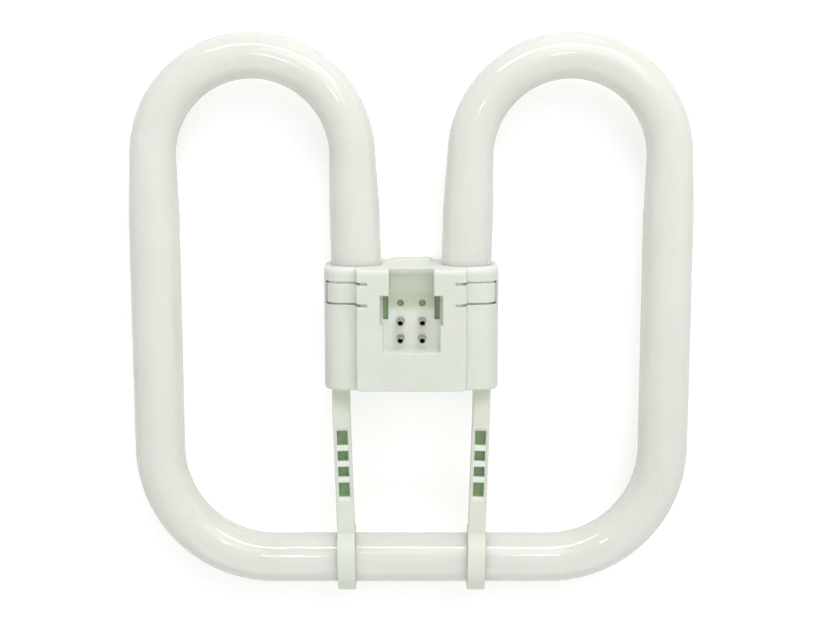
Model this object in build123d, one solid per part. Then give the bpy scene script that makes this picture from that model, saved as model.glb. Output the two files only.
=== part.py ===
from build123d import *
import math
import os

# Square compact fluorescent lamp with a four-pin plastic cap, in millimetres.
# X runs across the lamp, Y from the stay clips up to the glass loops, Z out of the cap's pin side.
# The lamp lies on the back of its cap with the pins up. The origin is under the middle of its outline.

# Glass tube
TUBE_WIDTH = 205.0
TUBE_HEIGHT = 203.4
LIMB_DIAMETER = 18.2
RUN_DIAMETER = 18.1
LOOP_DIAMETER = 16.6
CORNER_RADIUS = 42.0
TAPER_LENGTH = 22.0
LIMB_SPACING = 40.1
LIMB_SLANT = 1.8
SEAT_DEPTH = 20.0
SHOULDER_RADIUS = 3.0
EXHAUST_DIAMETER = 5.0
EXHAUST_LENGTH = 6.5

# Cap shells
CAP_TOP_OVER_RUN = 111.0
CAP_HEIGHT = 44.8
CAP_BACK_DEPTH = 15.2
CAP_SIDE_MARGIN = 2.45
SIDE_WALL = 1.4
EAR_WALL = 2.05
END_WALL = 1.6
BACK_WALL = 1.8
TUBE_CLEARANCE = 0.35
EAR_CORNER_RADIUS = 7.0
BACK_CORNER_RADIUS = 9.0
EAR_CHAMFER = 1.0
RIM_RADIUS = 1.2
LOWER_RIM_CHAMFER = 0.5
BACK_PAD_WIDTH = 16.0
BACK_PAD_PROUD = 1.3
PAD_LIP_RISE = 0.8
PAD_LIP_DEPTH = 7.0
PAD_EDGE_RADIUS = 0.6
SADDLE_RIB = 1.6
SADDLE_PITCH = 11.0
SADDLE_CLEARANCE = 0.1

# Raised block of the front shell, which holds the connector recess
BLOCK_WIDTH = 40.2
BLOCK_PROUD = 5.0
BLOCK_DRAFT = 7.0
BLOCK_WALL = 1.6
BLOCK_CORNER_RADIUS = 2.2
BLOCK_EDGE_RADIUS = 0.7

# Connector recess
PIN_SPACING_X = 7.92
PIN_SPACING_Y = 6.35
PIN_ROW_BELOW_TOP = 19.75
RECESS_DEPTH = 9.0
RECESS_WALL = 1.3
RECESS_EDGE_CHAMFER = 0.35
FLOOR_WALL = 2.0
CHANNEL_WIDTH = 15.9
CHANNEL_LIP_DEPTH = 2.4
RAMP_LENGTH = 11.0
NOTCH_WIDTH = 22.3
NOTCH_HEIGHT = 10.7
NOTCH_BELOW_TOP = 9.7
POCKET_WIDTH = 20.5
POCKET_BELOW_PINS = 3.9
SLOT_WIDTH = 1.9
SLOT_HEIGHT = 9.6
SLOT_INSET = 0.85
SLOT_DEPTH = 1.5
SPARE_HOLE_DIAMETER = 2.4
SPARE_HOLE_DEPTH = 1.4

# Latch tongues of the front shell and the windowed tabs of the rear shell that they snap into
TONGUE_BELOW_TOP = 9.3
TONGUE_HEIGHT = 7.0
SLIT_WIDTH = 0.7
ROOT_SLIT_WIDTH = 1.1
END_SLIT_WIDTH = 0.5
TONGUE_END_INSET = 1.5
TONGUE_ROOT_INSET = 3.9
HOOK_WIDTH = 1.0
BARB_HEIGHT = 0.9
BARB_REACH = 0.8
TAB_WALL = 0.8
TAB_SHOULDER = 1.6
TAB_GAP = 0.1
LATCH_GAP = 0.15

# Contact pins
PIN_DIAMETER = 2.35
PIN_REACH = 6.7
PIN_TIP_CHAMFER = 0.3
PIN_BORE_DIAMETER = 1.55
PIN_BORE_DEPTH = 2.2
COLLAR_DIAMETER = 2.9
FLANGE_DIAMETER = 4.0
FLANGE_THICKNESS = 0.8
TAIL_DIAMETER = 1.6
TAIL_LENGTH = 3.0

# Lead wires
WIRE_DIAMETER = 0.8
WIRE_OFFSET = 4.6
WIRE_DROP = 4.0
WIRE_DROP_STEP = 2.5
WIRE_TURN_DEPTH = 3.4

# Stays
STAY_SPACING = 52.1
STAY_WIDTH = 6.5
STAY_THICKNESS = 4.6
STAY_FRONT = 5.5
STAY_RAMP_START = 2.5
STAY_RAMP_LENGTH = 6.5
STAY_BEND_RADIUS = 3.0
STAY_EDGE_CHAMFER = 0.4
STAY_CLEARANCE = 0.2
HEAD_STEP = 2.4
HEAD_LENGTH = 3.2
WINDOW_WIDTH = 3.9
WINDOW_HEIGHT = 3.8
END_WINDOW_HEIGHT = 5.4
WINDOW_BAR = 2.2
WINDOW_DEPTH = 3.5
WINDOWS_BELOW_CAP = 16.5
WINDOW_COUNT = 4
TROUGH_WIDTH = 4.8
TROUGH_MARGIN = 0.7
TROUGH_CORNER_RADIUS = 1.0
TROUGH_DEPTH = 0.45
CLIP_WALL = 2.95
CLIP_GAP = 0.1
CLIP_HOOK_ANGLE = 42.0
CLIP_ROOT_ANGLE = 30.0
CLIP_CORNER_RADIUS = 1.6

# Heights of the main levels
AXIS_Z = CAP_BACK_DEPTH + BACK_PAD_PROUD
LIMB_RADIUS = LIMB_DIAMETER / 2
EAR_FRONT_Z = AXIS_Z + LIMB_RADIUS + TUBE_CLEARANCE + EAR_WALL
BLOCK_FRONT_Z = EAR_FRONT_Z + BLOCK_PROUD
FLOOR_Z = BLOCK_FRONT_Z - RECESS_DEPTH
CAP_BACK_Z = BACK_PAD_PROUD
FRONT_CUT_Z = BLOCK_FRONT_Z + 1.0

# Places along Y
OVERALL_HEIGHT = TUBE_HEIGHT + CLIP_GAP + CLIP_WALL
TUBE_TOP_Y = OVERALL_HEIGHT / 2
RUN_Y = TUBE_TOP_Y - TUBE_HEIGHT + RUN_DIAMETER / 2
CAP_TOP_Y = RUN_Y + CAP_TOP_OVER_RUN
CAP_BOTTOM_Y = CAP_TOP_Y - CAP_HEIGHT
TUBE_END_Y = CAP_TOP_Y - SEAT_DEPTH
UPPER_PIN_Y = CAP_TOP_Y - PIN_ROW_BELOW_TOP
LOWER_PIN_Y = UPPER_PIN_Y - PIN_SPACING_Y
SPARE_HOLE_Y = UPPER_PIN_Y + PIN_SPACING_Y
RECESS_BOTTOM_Y = LOWER_PIN_Y - POCKET_BELOW_PINS
NOTCH_TOP_Y = CAP_TOP_Y - NOTCH_BELOW_TOP
TONGUE_Y = CAP_TOP_Y - TONGUE_BELOW_TOP

# Places along X
CAP_WIDTH = LIMB_SPACING + LIMB_DIAMETER + 2 * CAP_SIDE_MARGIN
OUTER_LIMB_X = (TUBE_WIDTH - LIMB_DIAMETER) / 2
SLANT = math.radians(LIMB_SLANT)
STAY_CLIP_X = STAY_SPACING / 2 - (CAP_BOTTOM_Y - RUN_Y) * math.tan(SLANT)

# The loop's radius follows from the spacing of the limbs at the cap and their slant
LOOP_TOP_AXIS_Y = TUBE_TOP_Y - LOOP_DIAMETER / 2
LOOP_SPAN = OUTER_LIMB_X - LIMB_SPACING / 2 - (LOOP_TOP_AXIS_Y - CAP_TOP_Y) * math.tan(SLANT)
LOOP_RADIUS = LOOP_SPAN / (1 + math.cos(SLANT) - (1 - math.sin(SLANT)) * math.tan(SLANT))
LOOP_X = OUTER_LIMB_X - LOOP_RADIUS
LOOP_Y = LOOP_TOP_AXIS_Y - LOOP_RADIUS
LIMB_DOWN = Vector(-math.sin(SLANT), -math.cos(SLANT), 0)


def tube_stretch(start, direction, length, start_diameter, end_diameter):
    """Straight stretch of tube, a cylinder or a cone, from a point along a direction."""
    plane = Plane(origin=start, z_dir=direction)
    if start_diameter == end_diameter:
        shape = Cylinder(start_diameter / 2, length, align=(Align.CENTER, Align.CENTER, Align.MIN))
    else:
        shape = Cone(
            start_diameter / 2, end_diameter / 2, length, align=(Align.CENTER, Align.CENTER, Align.MIN)
        )
    return plane * shape


def tube_bend(centre_x, centre_y, bend_radius, start_angle, turn, diameter):
    """Bent stretch of tube: a circle turned about an upright axis through the bend's centre."""
    centre = Vector(centre_x, centre_y, AXIS_Z)
    outward = Vector(math.cos(math.radians(start_angle)), math.sin(math.radians(start_angle)), 0)
    start = centre + outward * bend_radius
    section_plane = Plane(origin=start, x_dir=outward, z_dir=outward.cross(Vector(0, 0, 1)))
    return revolve(section_plane * Circle(diameter / 2), Axis(centre, (0, 0, 1)), turn)


def tube_end(point):
    """Sealed end of a limb: a shoulder, a flat face and the tipped-off exhaust tube."""
    inner_radius = LIMB_RADIUS - SHOULDER_RADIUS
    shoulder = Cone(LIMB_RADIUS, inner_radius, SHOULDER_RADIUS, align=(Align.CENTER, Align.CENTER, Align.MAX))
    exhaust_radius = EXHAUST_DIAMETER / 2
    outwards = (Align.CENTER, Align.CENTER, Align.MIN)
    tip = Cone(exhaust_radius, exhaust_radius / 2, EXHAUST_LENGTH, align=outwards)
    return Plane(origin=point, x_dir=(0, 0, 1), z_dir=LIMB_DOWN) * (shoulder + tip)


def limb_end_point():
    """Middle of the flat end face of the right limb, inside the cap."""
    drop = CAP_TOP_Y - TUBE_END_Y
    return Vector(LIMB_SPACING / 2 - drop * math.tan(SLANT), TUBE_END_Y, AXIS_Z)


def tapered_limb(start, direction, length, start_diameter, end_diameter):
    """Straight limb that is thinner at one or both ends, where the glass stretched in a bend."""
    taper = min(TAPER_LENGTH, length / 3)
    middle = length - taper
    limb = tube_stretch(start, direction, taper, start_diameter, LIMB_DIAMETER)
    if end_diameter != LIMB_DIAMETER:
        middle -= taper
        taper_start = start + direction * (length - taper)
        limb += tube_stretch(taper_start, direction, taper, LIMB_DIAMETER, end_diameter)
    return limb + tube_stretch(start + direction * taper, direction, middle, LIMB_DIAMETER, LIMB_DIAMETER)


def right_half_tube():
    """Right half of the glass: half the bottom run, corner, outer limb, loop and inner limb."""
    corner_x = OUTER_LIMB_X - CORNER_RADIUS
    corner_y = RUN_Y + CORNER_RADIUS
    run = tube_stretch(Vector(0, RUN_Y, AXIS_Z), Vector(1, 0, 0), corner_x, RUN_DIAMETER, RUN_DIAMETER)
    corner = tube_bend(corner_x, corner_y, CORNER_RADIUS, -90, 90, RUN_DIAMETER)
    limb_foot = Vector(OUTER_LIMB_X, corner_y, AXIS_Z)
    outer = tapered_limb(limb_foot, Vector(0, 1, 0), LOOP_Y - corner_y, RUN_DIAMETER, LOOP_DIAMETER)
    loop = tube_bend(LOOP_X, LOOP_Y, LOOP_RADIUS, 0, 180 - LIMB_SLANT, LOOP_DIAMETER)
    loop_end = Vector(
        LOOP_X - LOOP_RADIUS * math.cos(SLANT), LOOP_Y + LOOP_RADIUS * math.sin(SLANT), AXIS_Z
    )
    end = limb_end_point()
    inner_length = (end - loop_end).length - SHOULDER_RADIUS
    inner = tapered_limb(loop_end, LIMB_DOWN, inner_length, LOOP_DIAMETER, LIMB_DIAMETER)
    return run + corner + outer + loop + inner + tube_end(end)


def discharge_tube():
    """The whole bent glass tube, sealed at both ends."""
    right = right_half_tube()
    return right + mirror(right, Plane.YZ)


def tube_room(clearance):
    """Both limbs inside the cap and just above it, grown by a clearance, to cut the shells with."""
    start = limb_end_point() + LIMB_DOWN * (EXHAUST_LENGTH + 2 * clearance)
    length = SEAT_DEPTH + EXHAUST_LENGTH + 4 * RIM_RADIUS
    diameter = LIMB_DIAMETER + 2 * clearance
    right = tube_stretch(start, -LIMB_DOWN, length, diameter, diameter)
    return right + mirror(right, Plane.YZ)


def slab(width, bottom, top, back, front):
    """Box centred on the cap's middle plane, from its lowest to its highest Y and Z."""
    box = Box(width, top - bottom, front - back, align=(Align.CENTER, Align.MIN, Align.MIN))
    return Pos(0, bottom, back) * box


def cap_outline(width, bottom, top, chamfer_size):
    """Front view of the cap, with its lower corners chamfered."""
    outline = Pos(0, (bottom + top) / 2) * Rectangle(width, top - bottom)
    return chamfer(outline.vertices().sort_by(Axis.Y)[:2], chamfer_size)


def ear_body(inset_side, inset_end, front, back, front_radius, back_radius):
    """Wide body of the cap round both limbs: its end-on section cut to its front view."""
    width = CAP_WIDTH - 2 * inset_side
    bottom = CAP_BOTTOM_Y + inset_end
    top = CAP_TOP_Y - inset_end
    section = Pos(0, (front + back) / 2) * Rectangle(width, front - back)
    corners = section.vertices().sort_by(Axis.Y)
    section = fillet(corners[:2], back_radius)
    section = fillet(section.vertices().sort_by(Axis.Y)[-2:], front_radius)
    section_plane = Plane(origin=(0, top, 0), x_dir=(1, 0, 0), z_dir=(0, -1, 0))
    body = extrude(section_plane * section, top - bottom)
    outline = cap_outline(width, bottom, top, EAR_CHAMFER)
    return body & extrude(Pos(0, 0, back) * outline, front - back)


def block_body(inset, front):
    """Raised block in the middle of the front, drafted, with round lower corners."""
    base = AXIS_Z
    width = BLOCK_WIDTH - 2 * inset
    bottom = CAP_BOTTOM_Y + inset
    top = CAP_TOP_Y - inset
    outline = Pos(0, (bottom + top) / 2) * Rectangle(width, top - bottom)
    outline = fillet(outline.vertices().sort_by(Axis.Y)[:2], BLOCK_CORNER_RADIUS)
    straight = extrude(Pos(0, 0, base) * outline, EAR_FRONT_Z - base)
    raised = extrude(Pos(0, 0, EAR_FRONT_Z) * outline, front - EAR_FRONT_Z, taper=BLOCK_DRAFT)
    return straight + raised


def cap_solid():
    """Outer form of both shells together, before it is parted and hollowed."""
    ears = ear_body(0, 0, EAR_FRONT_Z, CAP_BACK_Z, EAR_CORNER_RADIUS, BACK_CORNER_RADIUS)
    ears = fillet(ears.faces().sort_by(Axis.Y)[-1].edges(), RIM_RADIUS)
    ears = chamfer(ears.faces().sort_by(Axis.Y)[0].edges(), LOWER_RIM_CHAMFER)
    block = block_body(0, BLOCK_FRONT_Z)
    block = fillet(block.faces().sort_by(Axis.Z)[-1].edges(), BLOCK_EDGE_RADIUS)
    return ears + block


def cap_cavity():
    """Hollow of both shells together."""
    ears = ear_body(
        SIDE_WALL,
        END_WALL,
        EAR_FRONT_Z - EAR_WALL,
        CAP_BACK_Z + BACK_WALL,
        EAR_CORNER_RADIUS - SIDE_WALL,
        BACK_CORNER_RADIUS - BACK_WALL,
    )
    return ears + block_body(BLOCK_WALL, BLOCK_FRONT_Z - BLOCK_WALL)


def front_half():
    """Space in front of the parting plane, which is the plane of the tube's axis."""
    return slab(2 * CAP_WIDTH, CAP_BOTTOM_Y - CAP_HEIGHT, CAP_TOP_Y + CAP_HEIGHT, AXIS_Z, 2 * BLOCK_FRONT_Z)


def rear_half():
    """Space behind the parting plane."""
    return slab(2 * CAP_WIDTH, CAP_BOTTOM_Y - CAP_HEIGHT, CAP_TOP_Y + CAP_HEIGHT, -CAP_HEIGHT, AXIS_Z)


def recess_section():
    """Side view of the recess: a flat floor that curves up to a shallow lip at the cap's top."""
    front = FRONT_CUT_Z
    lip_z = BLOCK_FRONT_Z - CHANNEL_LIP_DEPTH
    ramp_start = (CAP_TOP_Y - RAMP_LENGTH, FLOOR_Z)
    ramp_end = (CAP_TOP_Y, lip_z)
    past_top = CAP_TOP_Y + END_WALL
    floor = Line((RECESS_BOTTOM_Y, FLOOR_Z), ramp_start)
    ramp = TangentArc(ramp_start, ramp_end, tangent=(1, 0))
    corners = [(past_top, lip_z), (past_top, front), (RECESS_BOTTOM_Y, front), (RECESS_BOTTOM_Y, FLOOR_Z)]
    rest = Polyline(ramp_end, *corners)
    return make_face(floor + ramp + rest)


def side_prism(section, half_width):
    """Solid of a side view, given as Y and Z, that reaches as far to both sides of the middle."""
    return extrude(Plane.YZ * section, half_width, both=True)


def recess_room():
    """Everything that is open in the recess: channel, notch beside the slots and lower pocket."""
    channel = side_prism(recess_section(), CHANNEL_WIDTH / 2)
    notch_bottom = NOTCH_TOP_Y - NOTCH_HEIGHT
    notch = slab(NOTCH_WIDTH, notch_bottom, NOTCH_TOP_Y, FLOOR_Z, FRONT_CUT_Z)
    pocket = slab(POCKET_WIDTH, RECESS_BOTTOM_Y, notch_bottom, FLOOR_Z, FRONT_CUT_Z)
    return channel + notch + pocket


def open_recess(shell):
    """Opens the recess in the shell and bevels the edge of its mouth, up to the channel's open end."""
    shell -= recess_room()
    half = NOTCH_WIDTH / 2
    mouth = shell.edges().filter_by_position(Axis.Z, BLOCK_FRONT_Z, BLOCK_FRONT_Z)
    mouth = mouth.filter_by_position(Axis.X, -half, half)
    mouth = mouth.filter_by_position(Axis.Y, RECESS_BOTTOM_Y, CAP_TOP_Y - RIM_RADIUS)
    return chamfer(mouth, RECESS_EDGE_CHAMFER)


def recess_tub():
    """The recess with its walls and floor, before it is opened."""
    section = offset(recess_section(), RECESS_WALL, kind=Kind.INTERSECTION)
    channel = side_prism(section, CHANNEL_WIDTH / 2 + RECESS_WALL)
    notch_bottom = NOTCH_TOP_Y - NOTCH_HEIGHT
    floor_back = FLOOR_Z - FLOOR_WALL
    notch = slab(
        NOTCH_WIDTH + 2 * RECESS_WALL,
        notch_bottom - RECESS_WALL,
        NOTCH_TOP_Y + RECESS_WALL,
        floor_back,
        BLOCK_FRONT_Z,
    )
    pocket = slab(
        POCKET_WIDTH + 2 * RECESS_WALL,
        RECESS_BOTTOM_Y - RECESS_WALL,
        notch_bottom,
        floor_back,
        BLOCK_FRONT_Z,
    )
    return channel + notch + pocket


def recess_slots():
    """Two narrow blind slots in the floor, one at each side of the notch."""
    middle_x = NOTCH_WIDTH / 2 - SLOT_INSET - SLOT_WIDTH / 2
    slot_bottom = NOTCH_TOP_Y - SLOT_HEIGHT
    upward = (Align.CENTER, Align.MIN, Align.MIN)
    slot = Box(SLOT_WIDTH, SLOT_HEIGHT, SLOT_DEPTH + RECESS_DEPTH, align=upward)
    right = Pos(middle_x, slot_bottom, FLOOR_Z - SLOT_DEPTH) * slot
    return right + mirror(right, Plane.YZ)


def pin_places():
    """Centres of the four pins, from the upper left to the lower right."""
    rows = (UPPER_PIN_Y, LOWER_PIN_Y)
    columns = (-PIN_SPACING_X / 2, PIN_SPACING_X / 2)
    return [(x, y) for y in rows for x in columns]


def floor_holes():
    """Holes for the four pins and, one row higher, two blind ones that stay empty."""
    holes = Part()
    for x, y in pin_places():
        holes += Pos(x, y, FLOOR_Z) * Cylinder(COLLAR_DIAMETER / 2, 3 * FLOOR_WALL)
    for x in (-PIN_SPACING_X / 2, PIN_SPACING_X / 2):
        holes += Pos(x, SPARE_HOLE_Y, FLOOR_Z) * Cylinder(SPARE_HOLE_DIAMETER / 2, 2 * SPARE_HOLE_DEPTH)
    return holes


def ear_inside_z(x):
    """Height of the ear's inner face at x, in its round front corner."""
    radius = EAR_CORNER_RADIUS - SIDE_WALL
    centre_x = CAP_WIDTH / 2 - EAR_CORNER_RADIUS
    return EAR_FRONT_Z - EAR_WALL - radius + math.sqrt(radius**2 - (x - centre_x) ** 2)


def tongue_slits():
    """Slits that free the latch tongues: two along each, wider on the block, and one across its end."""
    root_x = BLOCK_WIDTH / 2 - TONGUE_ROOT_INSET
    step_x = BLOCK_WIDTH / 2
    end_x = CAP_WIDTH / 2 - TONGUE_END_INSET + END_SLIT_WIDTH
    depth = FRONT_CUT_Z - AXIS_Z - LIMB_RADIUS / 2
    profile = Sketch()
    for side in (-1, 1):
        slit_y = TONGUE_Y + side * (TONGUE_HEIGHT + SLIT_WIDTH) / 2
        profile += Pos((root_x + end_x) / 2, slit_y) * Rectangle(end_x - root_x, SLIT_WIDTH)
        profile += Pos((root_x + step_x) / 2, slit_y) * Rectangle(step_x - root_x, ROOT_SLIT_WIDTH)
        profile += Pos(root_x, slit_y) * Circle(ROOT_SLIT_WIDTH / 2)
    end_slit = Rectangle(END_SLIT_WIDTH, TONGUE_HEIGHT + SLIT_WIDTH)
    profile += Pos(end_x - END_SLIT_WIDTH / 2, TONGUE_Y) * end_slit
    right = extrude(Pos(0, 0, FRONT_CUT_Z) * profile, -depth)
    return right + mirror(right, Plane.YZ)


def tab_outer_x():
    """Outer face of the right latch tab, just inside the cap's side wall."""
    return CAP_WIDTH / 2 - SIDE_WALL - TAB_GAP


def tab_top_z():
    """Top of a latch tab, just under the inner face of the ear's round corner."""
    return ear_inside_z(tab_outer_x()) - TAB_GAP


def barb_top_z():
    """Top of a barb, which catches under the top bar of its tab's window."""
    return tab_top_z() - TAB_WALL - LATCH_GAP


def tongue_hooks():
    """Barbed hook behind the free end of each latch tongue."""
    outer_x = tab_outer_x() - TAB_WALL - LATCH_GAP
    root_z = ear_inside_z(outer_x - HOOK_WIDTH / 2) + EAR_WALL / 2
    barb_bottom = barb_top_z() - BARB_HEIGHT
    leg = Box(HOOK_WIDTH, TONGUE_HEIGHT, root_z - barb_bottom, align=(Align.MAX, Align.CENTER, Align.MIN))
    barb = Box(BARB_REACH, TONGUE_HEIGHT, BARB_HEIGHT, align=(Align.MIN, Align.CENTER, Align.MIN))
    right = Pos(outer_x, TONGUE_Y, barb_bottom) * (leg + barb)
    return right + mirror(right, Plane.YZ)


def latch_tabs():
    """Tabs of the rear shell, inside the ears, with a window for each barb."""
    outer_x = tab_outer_x()
    foot = AXIS_Z - LIMB_RADIUS
    width = TONGUE_HEIGHT + 2 * TAB_SHOULDER
    inwards = (Align.MAX, Align.CENTER, Align.MIN)
    tab = Pos(outer_x, TONGUE_Y, foot) * Box(TAB_WALL, width, tab_top_z() - foot, align=inwards)
    root_x = outer_x + TAB_GAP + SIDE_WALL / 2
    root_width = root_x - outer_x + TAB_WALL
    tab += Pos(root_x, TONGUE_Y, foot) * Box(root_width, width, AXIS_Z - foot, align=inwards)
    window_bottom = barb_top_z() - BARB_HEIGHT - LATCH_GAP
    window_size = (3 * TAB_WALL, TONGUE_HEIGHT + 2 * LATCH_GAP, BARB_HEIGHT + 2 * LATCH_GAP)
    window = Box(*window_size, align=(Align.CENTER, Align.CENTER, Align.MIN))
    right = tab - Pos(outer_x, TONGUE_Y, window_bottom) * window
    return right + mirror(right, Plane.YZ)


def cap_front_shell():
    """Front moulding: ears over both limbs, raised block, connector recess and latch tongues."""
    outer = cap_solid()
    shell = outer - cap_cavity()
    shell += recess_tub() & outer
    shell = open_recess(shell)
    shell -= recess_slots()
    shell -= floor_holes()
    shell &= front_half()
    shell -= tongue_slits()
    shell += tongue_hooks()
    shell -= tube_room(TUBE_CLEARANCE)
    shell -= stay_aperture()
    return shell


def saddle_ribs():
    """Cross ribs of the rear shell, cut to the glass, that carry both limbs."""
    ribs = Part()
    back = CAP_BACK_Z + BACK_WALL / 2
    first_y = CAP_TOP_Y - END_WALL - SADDLE_RIB
    for y in (first_y, first_y - SADDLE_PITCH):
        ribs += slab(CAP_WIDTH - 2 * SIDE_WALL, y - SADDLE_RIB, y, back, AXIS_Z)
    gangway = slab(CHANNEL_WIDTH, CAP_BOTTOM_Y, CAP_TOP_Y, CAP_BACK_Z + BACK_WALL, AXIS_Z)
    return ribs - gangway


def back_pad():
    """Raised pad down the middle of the back, which ends in a lip over the cap's top edge."""
    pad = slab(BACK_PAD_WIDTH, CAP_BOTTOM_Y + RIM_RADIUS, CAP_TOP_Y, 0, CAP_BACK_Z + BACK_WALL / 2)
    lip = slab(BACK_PAD_WIDTH, CAP_TOP_Y - END_WALL / 2, CAP_TOP_Y + PAD_LIP_RISE, 0, PAD_LIP_DEPTH)
    body = pad + lip
    corners = body.edges().filter_by(Axis.Z).sort_by(Axis.Y)[-2:]
    body = fillet(corners, RIM_RADIUS)
    return fillet(body.faces().sort_by(Axis.Z)[0].edges(), PAD_EDGE_RADIUS)


def cap_rear_shell():
    """Rear moulding: cradles the limbs on saddle ribs and closes the back of the cap."""
    shell = (cap_solid() & rear_half()) + back_pad()
    shell -= cap_cavity()
    shell += saddle_ribs()
    shell -= tube_room(SADDLE_CLEARANCE)
    shell += latch_tabs()
    shell -= stay_aperture()
    return shell


def contact_pin(x, y):
    """Turned pin, pressed into the floor from behind: hollow tip, shank, collar, flange and tail."""
    upward = (Align.CENTER, Align.CENTER, Align.MIN)
    downward = (Align.CENTER, Align.CENTER, Align.MAX)
    floor_back = FLOOR_Z - FLOOR_WALL
    shank = Cylinder(PIN_DIAMETER / 2, PIN_REACH, align=upward)
    shank = chamfer(shank.edges().sort_by(Axis.Z)[-1], PIN_TIP_CHAMFER)
    bore = Pos(0, 0, PIN_REACH) * Cylinder(PIN_BORE_DIAMETER / 2, PIN_BORE_DEPTH, align=downward)
    pin = Pos(x, y, FLOOR_Z) * (shank - bore)
    pin += Pos(x, y, floor_back) * Cylinder(COLLAR_DIAMETER / 2, FLOOR_WALL, align=upward)
    pin += Pos(x, y, floor_back) * Cylinder(FLANGE_DIAMETER / 2, FLANGE_THICKNESS, align=downward)
    pin += Pos(x, y, floor_back - FLANGE_THICKNESS) * Cylinder(TAIL_DIAMETER / 2, TAIL_LENGTH, align=downward)
    return pin


def lead_wire(pin_x, pin_y, row):
    """Bare wire from the flat end of the glass to the tail of one pin."""
    side = math.copysign(1, pin_x)
    end = limb_end_point()
    down = Vector(side * LIMB_DOWN.X, LIMB_DOWN.Y, 0)
    depth_side = 1 if row == 0 else -1
    start = Vector(side * end.X, end.Y, AXIS_Z + depth_side * WIRE_OFFSET)
    drop = start + down * (WIRE_DROP + row * WIRE_DROP_STEP)
    tail = Vector(pin_x, pin_y, FLOOR_Z - FLOOR_WALL - FLANGE_THICKNESS - TAIL_LENGTH)
    below_tail = tail - Vector(0, 0, WIRE_TURN_DEPTH)
    path = Polyline(start, drop, below_tail, tail)
    section = Plane(origin=start, z_dir=down) * Circle(WIRE_DIAMETER / 2)
    return sweep(section, path=path, transition=Transition.RIGHT)


def stay_line_x(y):
    """Middle of the right stay at a height: it leans inwards, as the limbs do."""
    return STAY_SPACING / 2 - (CAP_BOTTOM_Y - y) * math.tan(SLANT)


def stay_front_view():
    """Front view of the right stay: head, leaning strap and clip with round lower corners."""
    half = STAY_WIDTH / 2
    clip_radius = RUN_DIAMETER / 2 + CLIP_GAP + CLIP_WALL
    clip_top = RUN_Y + clip_radius
    neck_top = CAP_BOTTOM_Y + END_WALL + STAY_CLEARANCE
    strap = make_face(
        Polyline(
            (stay_line_x(neck_top) - half, neck_top),
            (stay_line_x(neck_top) + half, neck_top),
            (stay_line_x(RUN_Y) + half, RUN_Y),
            (stay_line_x(RUN_Y) - half, RUN_Y),
            (stay_line_x(neck_top) - half, neck_top),
        )
    )
    clip_bottom = RUN_Y - clip_radius
    clip = Pos(STAY_CLIP_X, (RUN_Y + clip_bottom) / 2) * Rectangle(STAY_WIDTH, clip_radius)
    clip = fillet(clip.vertices().sort_by(Axis.Y)[:2], CLIP_CORNER_RADIUS)
    head_x = stay_line_x(neck_top) - HEAD_STEP / 2
    head = Pos(head_x, neck_top + HEAD_LENGTH / 2) * Rectangle(STAY_WIDTH + HEAD_STEP, HEAD_LENGTH)
    return strap + clip + head


def stay_side_view():
    """Side view of a stay, as Y and Z: root in the cap, ramp, strap and a clip open at the back."""
    thickness = STAY_THICKNESS
    head_top = CAP_BOTTOM_Y + END_WALL + STAY_CLEARANCE + HEAD_LENGTH
    root_back = AXIS_Z - thickness / 2
    strap_back = AXIS_Z + STAY_FRONT - thickness
    ramp_top = CAP_BOTTOM_Y - STAY_RAMP_START
    ramp_foot = ramp_top - STAY_RAMP_LENGTH
    strap = Polyline(
        (head_top, root_back),
        (head_top, root_back + thickness),
        (ramp_top, root_back + thickness),
        (ramp_foot, strap_back + thickness),
        (RUN_Y, strap_back + thickness),
        (RUN_Y, strap_back),
        (ramp_foot, strap_back),
        (ramp_top, root_back),
        (head_top, root_back),
    )
    strap = make_face(strap)
    bends = strap.vertices().sort_by(Axis.X)[2:6]
    strap = fillet(bends, STAY_BEND_RADIUS)
    bore_radius = RUN_DIAMETER / 2 + CLIP_GAP
    clip_radius = bore_radius + CLIP_WALL
    ring = Circle(clip_radius) - Circle(bore_radius)
    reach = 2 * clip_radius
    root_angle = math.radians(-CLIP_ROOT_ANGLE)
    hook_angle = math.radians(180 + CLIP_HOOK_ANGLE)
    mouth = make_face(
        Polyline(
            (0, 0),
            (reach * math.cos(root_angle), reach * math.sin(root_angle)),
            (0, -2 * reach),
            (reach * math.cos(hook_angle), reach * math.sin(hook_angle)),
            (0, 0),
        )
    )
    clip = Pos(RUN_Y, AXIS_Z) * (ring - mouth)
    return strap - Pos(RUN_Y, AXIS_Z) * Circle(clip_radius - CLIP_WALL / 2) + clip


def window_ladder():
    """Blind pockets down the strap of the right stay, in a shallow trough, from top to bottom."""
    front = AXIS_Z + STAY_FRONT
    heights = [WINDOW_HEIGHT] * WINDOW_COUNT
    heights[0] = END_WINDOW_HEIGHT
    heights[-1] = END_WINDOW_HEIGHT
    top = CAP_BOTTOM_Y - WINDOWS_BELOW_CAP
    total = sum(heights) + (WINDOW_COUNT - 1) * WINDOW_BAR
    trough_outline = RectangleRounded(TROUGH_WIDTH, total + 2 * TROUGH_MARGIN, TROUGH_CORNER_RADIUS)
    cutters = extrude(Pos(0, -total / 2, -TROUGH_DEPTH) * trough_outline, STAY_THICKNESS)
    window_top = 0.0
    for height in heights:
        window = Box(WINDOW_WIDTH, height, STAY_THICKNESS, align=(Align.CENTER, Align.MAX, Align.MIN))
        cutters += Pos(0, window_top, -WINDOW_DEPTH) * window
        window_top -= height + WINDOW_BAR
    return Pos(stay_line_x(top), top, front) * Rot(0, 0, -LIMB_SLANT) * cutters


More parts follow.
